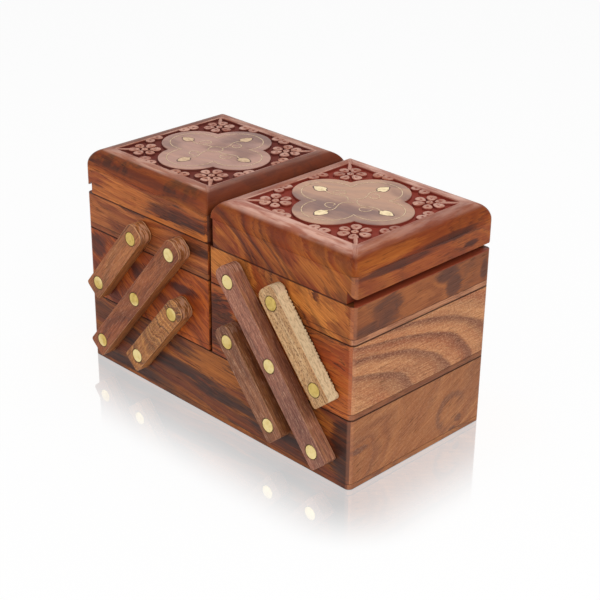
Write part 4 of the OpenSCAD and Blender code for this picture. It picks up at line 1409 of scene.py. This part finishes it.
for box in BOXES:
    node = f"{box}_lining"
    low, high, middle = box_in_mm(node)
    rings = [card_ring(low, high, middle, inset, height) for inset, height in PILE_RINGS]
    pad = show(f"{node}_velvet", skin(bmesh.new(), rings), BODY_OF[node], velvet, "velvet", [node], smooth=80)
print("linings:", len(BOXES))

# %% [markdown]
# ## Floor, light and background
# The box stands on a pale glossy sheet that mirrors it faintly. A sheet that is only white would still be
# grey where less light falls, so part of its white is its own, and the rest takes the light and the box's
# shadow. The mirror fades with distance, since the sheet is a little rough. Large soft lamps keep the wood's
# colour close to what was written, and the world is white for the camera and for reflections, but gives a
# softer light. The sheet's reach and the lamps' places and widths are the only sizes here in metres.

# %% Floor
SHEET_REACH, SHEET_DROP, FOOTPRINT = 3, 0.05 * MM, (101.6, 51.0)
MIRROR_SHARE, MIRROR_FADE, OWN_WHITE = 0.43, (6.0, 52.0), 0.92
WHITE = (1, 1, 1, 1)


def seen_straight(nodes):
    """1 for what the camera sees, also in a mirror or through glass, and 0 for light that falls on things."""
    seen = 0.0
    for kind in ("Is Camera Ray", "Is Glossy Ray", "Is Transmission Ray"):
        seen = nodes.add("ShaderNodeLightPath", output=kind).most(seen)
    return seen


floor_form = bmesh.new()
bmesh.ops.create_grid(floor_form, x_segments=2, y_segments=2, size=SHEET_REACH)
floor = in_scene(bpy.data.objects.new("floor", as_mesh("floor", floor_form)))
floor.location.z = -SHEET_DROP

sheet = Finish("pale_sheet", Base_Color="F7F7F7", Roughness=0.9, Specular_IOR_Level=0.0)
distance = diagonal(*((way.size() - half).most(0.0) for way, half in zip(sheet.axes(), FOOTPRINT)))
mirror = sheet.add("ShaderNodeBsdfGlossy", {"Color": (1, 0.97, 0.95, 1), "Roughness": 0.05})
own_white = sheet.add("ShaderNodeEmission", {"Color": WHITE, "Strength": 1.0})
lit = Value(sheet.tree, sheet.shader.outputs[0])
seen = sheet.add("ShaderNodeMixShader", {0: seen_straight(sheet) * OWN_WHITE, 1: lit, 2: own_white})
mirrored = sheet.fade(distance, *MIRROR_FADE) * MIRROR_SHARE
shine = sheet.add("ShaderNodeMixShader", {0: mirrored, 1: seen, 2: mirror})
sheet.tree.links.new(shine.socket, sheet.output.inputs[0])
floor.data.materials.append(sheet.material)
print("the mirror fades out", MIRROR_FADE[1], "mm from the box")

# %% World
AROUND_LIGHT = 0.42
world = bpy.data.worlds.new("studio")
world.use_nodes = True
bpy.context.scene.world = world
sky = Nodes(world.node_tree)
sky.tree.nodes.clear()
strength = seen_straight(sky) * (1 - AROUND_LIGHT) + AROUND_LIGHT
backdrop = sky.add("ShaderNodeBackground", {"Color": WHITE, "Strength": strength})
sky.tree.links.new(backdrop.socket, sky.tree.nodes.new("ShaderNodeOutputWorld").inputs[0])
print("light from around:", AROUND_LIGHT)

# %% Lamps
LAMP_AIM = Vector((0, 0, 0.06))
LAMPS = {
    "key": ((0.75, -0.35, 0.75), 0.7, 5.5),
    "fill": ((-0.5, -0.9, 0.45), 0.8, 2.6),
    "top": ((0.0, 0.2, 1.1), 0.8, 3.4),
}
for name, (place, width, power) in LAMPS.items():
    light = bpy.data.lights.new(name, "AREA")
    light.shape, light.size, light.energy = "SQUARE", width, power
    lamp = in_scene(bpy.data.objects.new(name, light))
    lamp.location = place
    lamp.rotation_euler = (LAMP_AIM - Vector(place)).to_track_quat("-Z", "Y").to_euler()
bpy.context.scene.view_settings.view_transform = "Standard"
print("lamps:", list(LAMPS))

# %% [markdown]
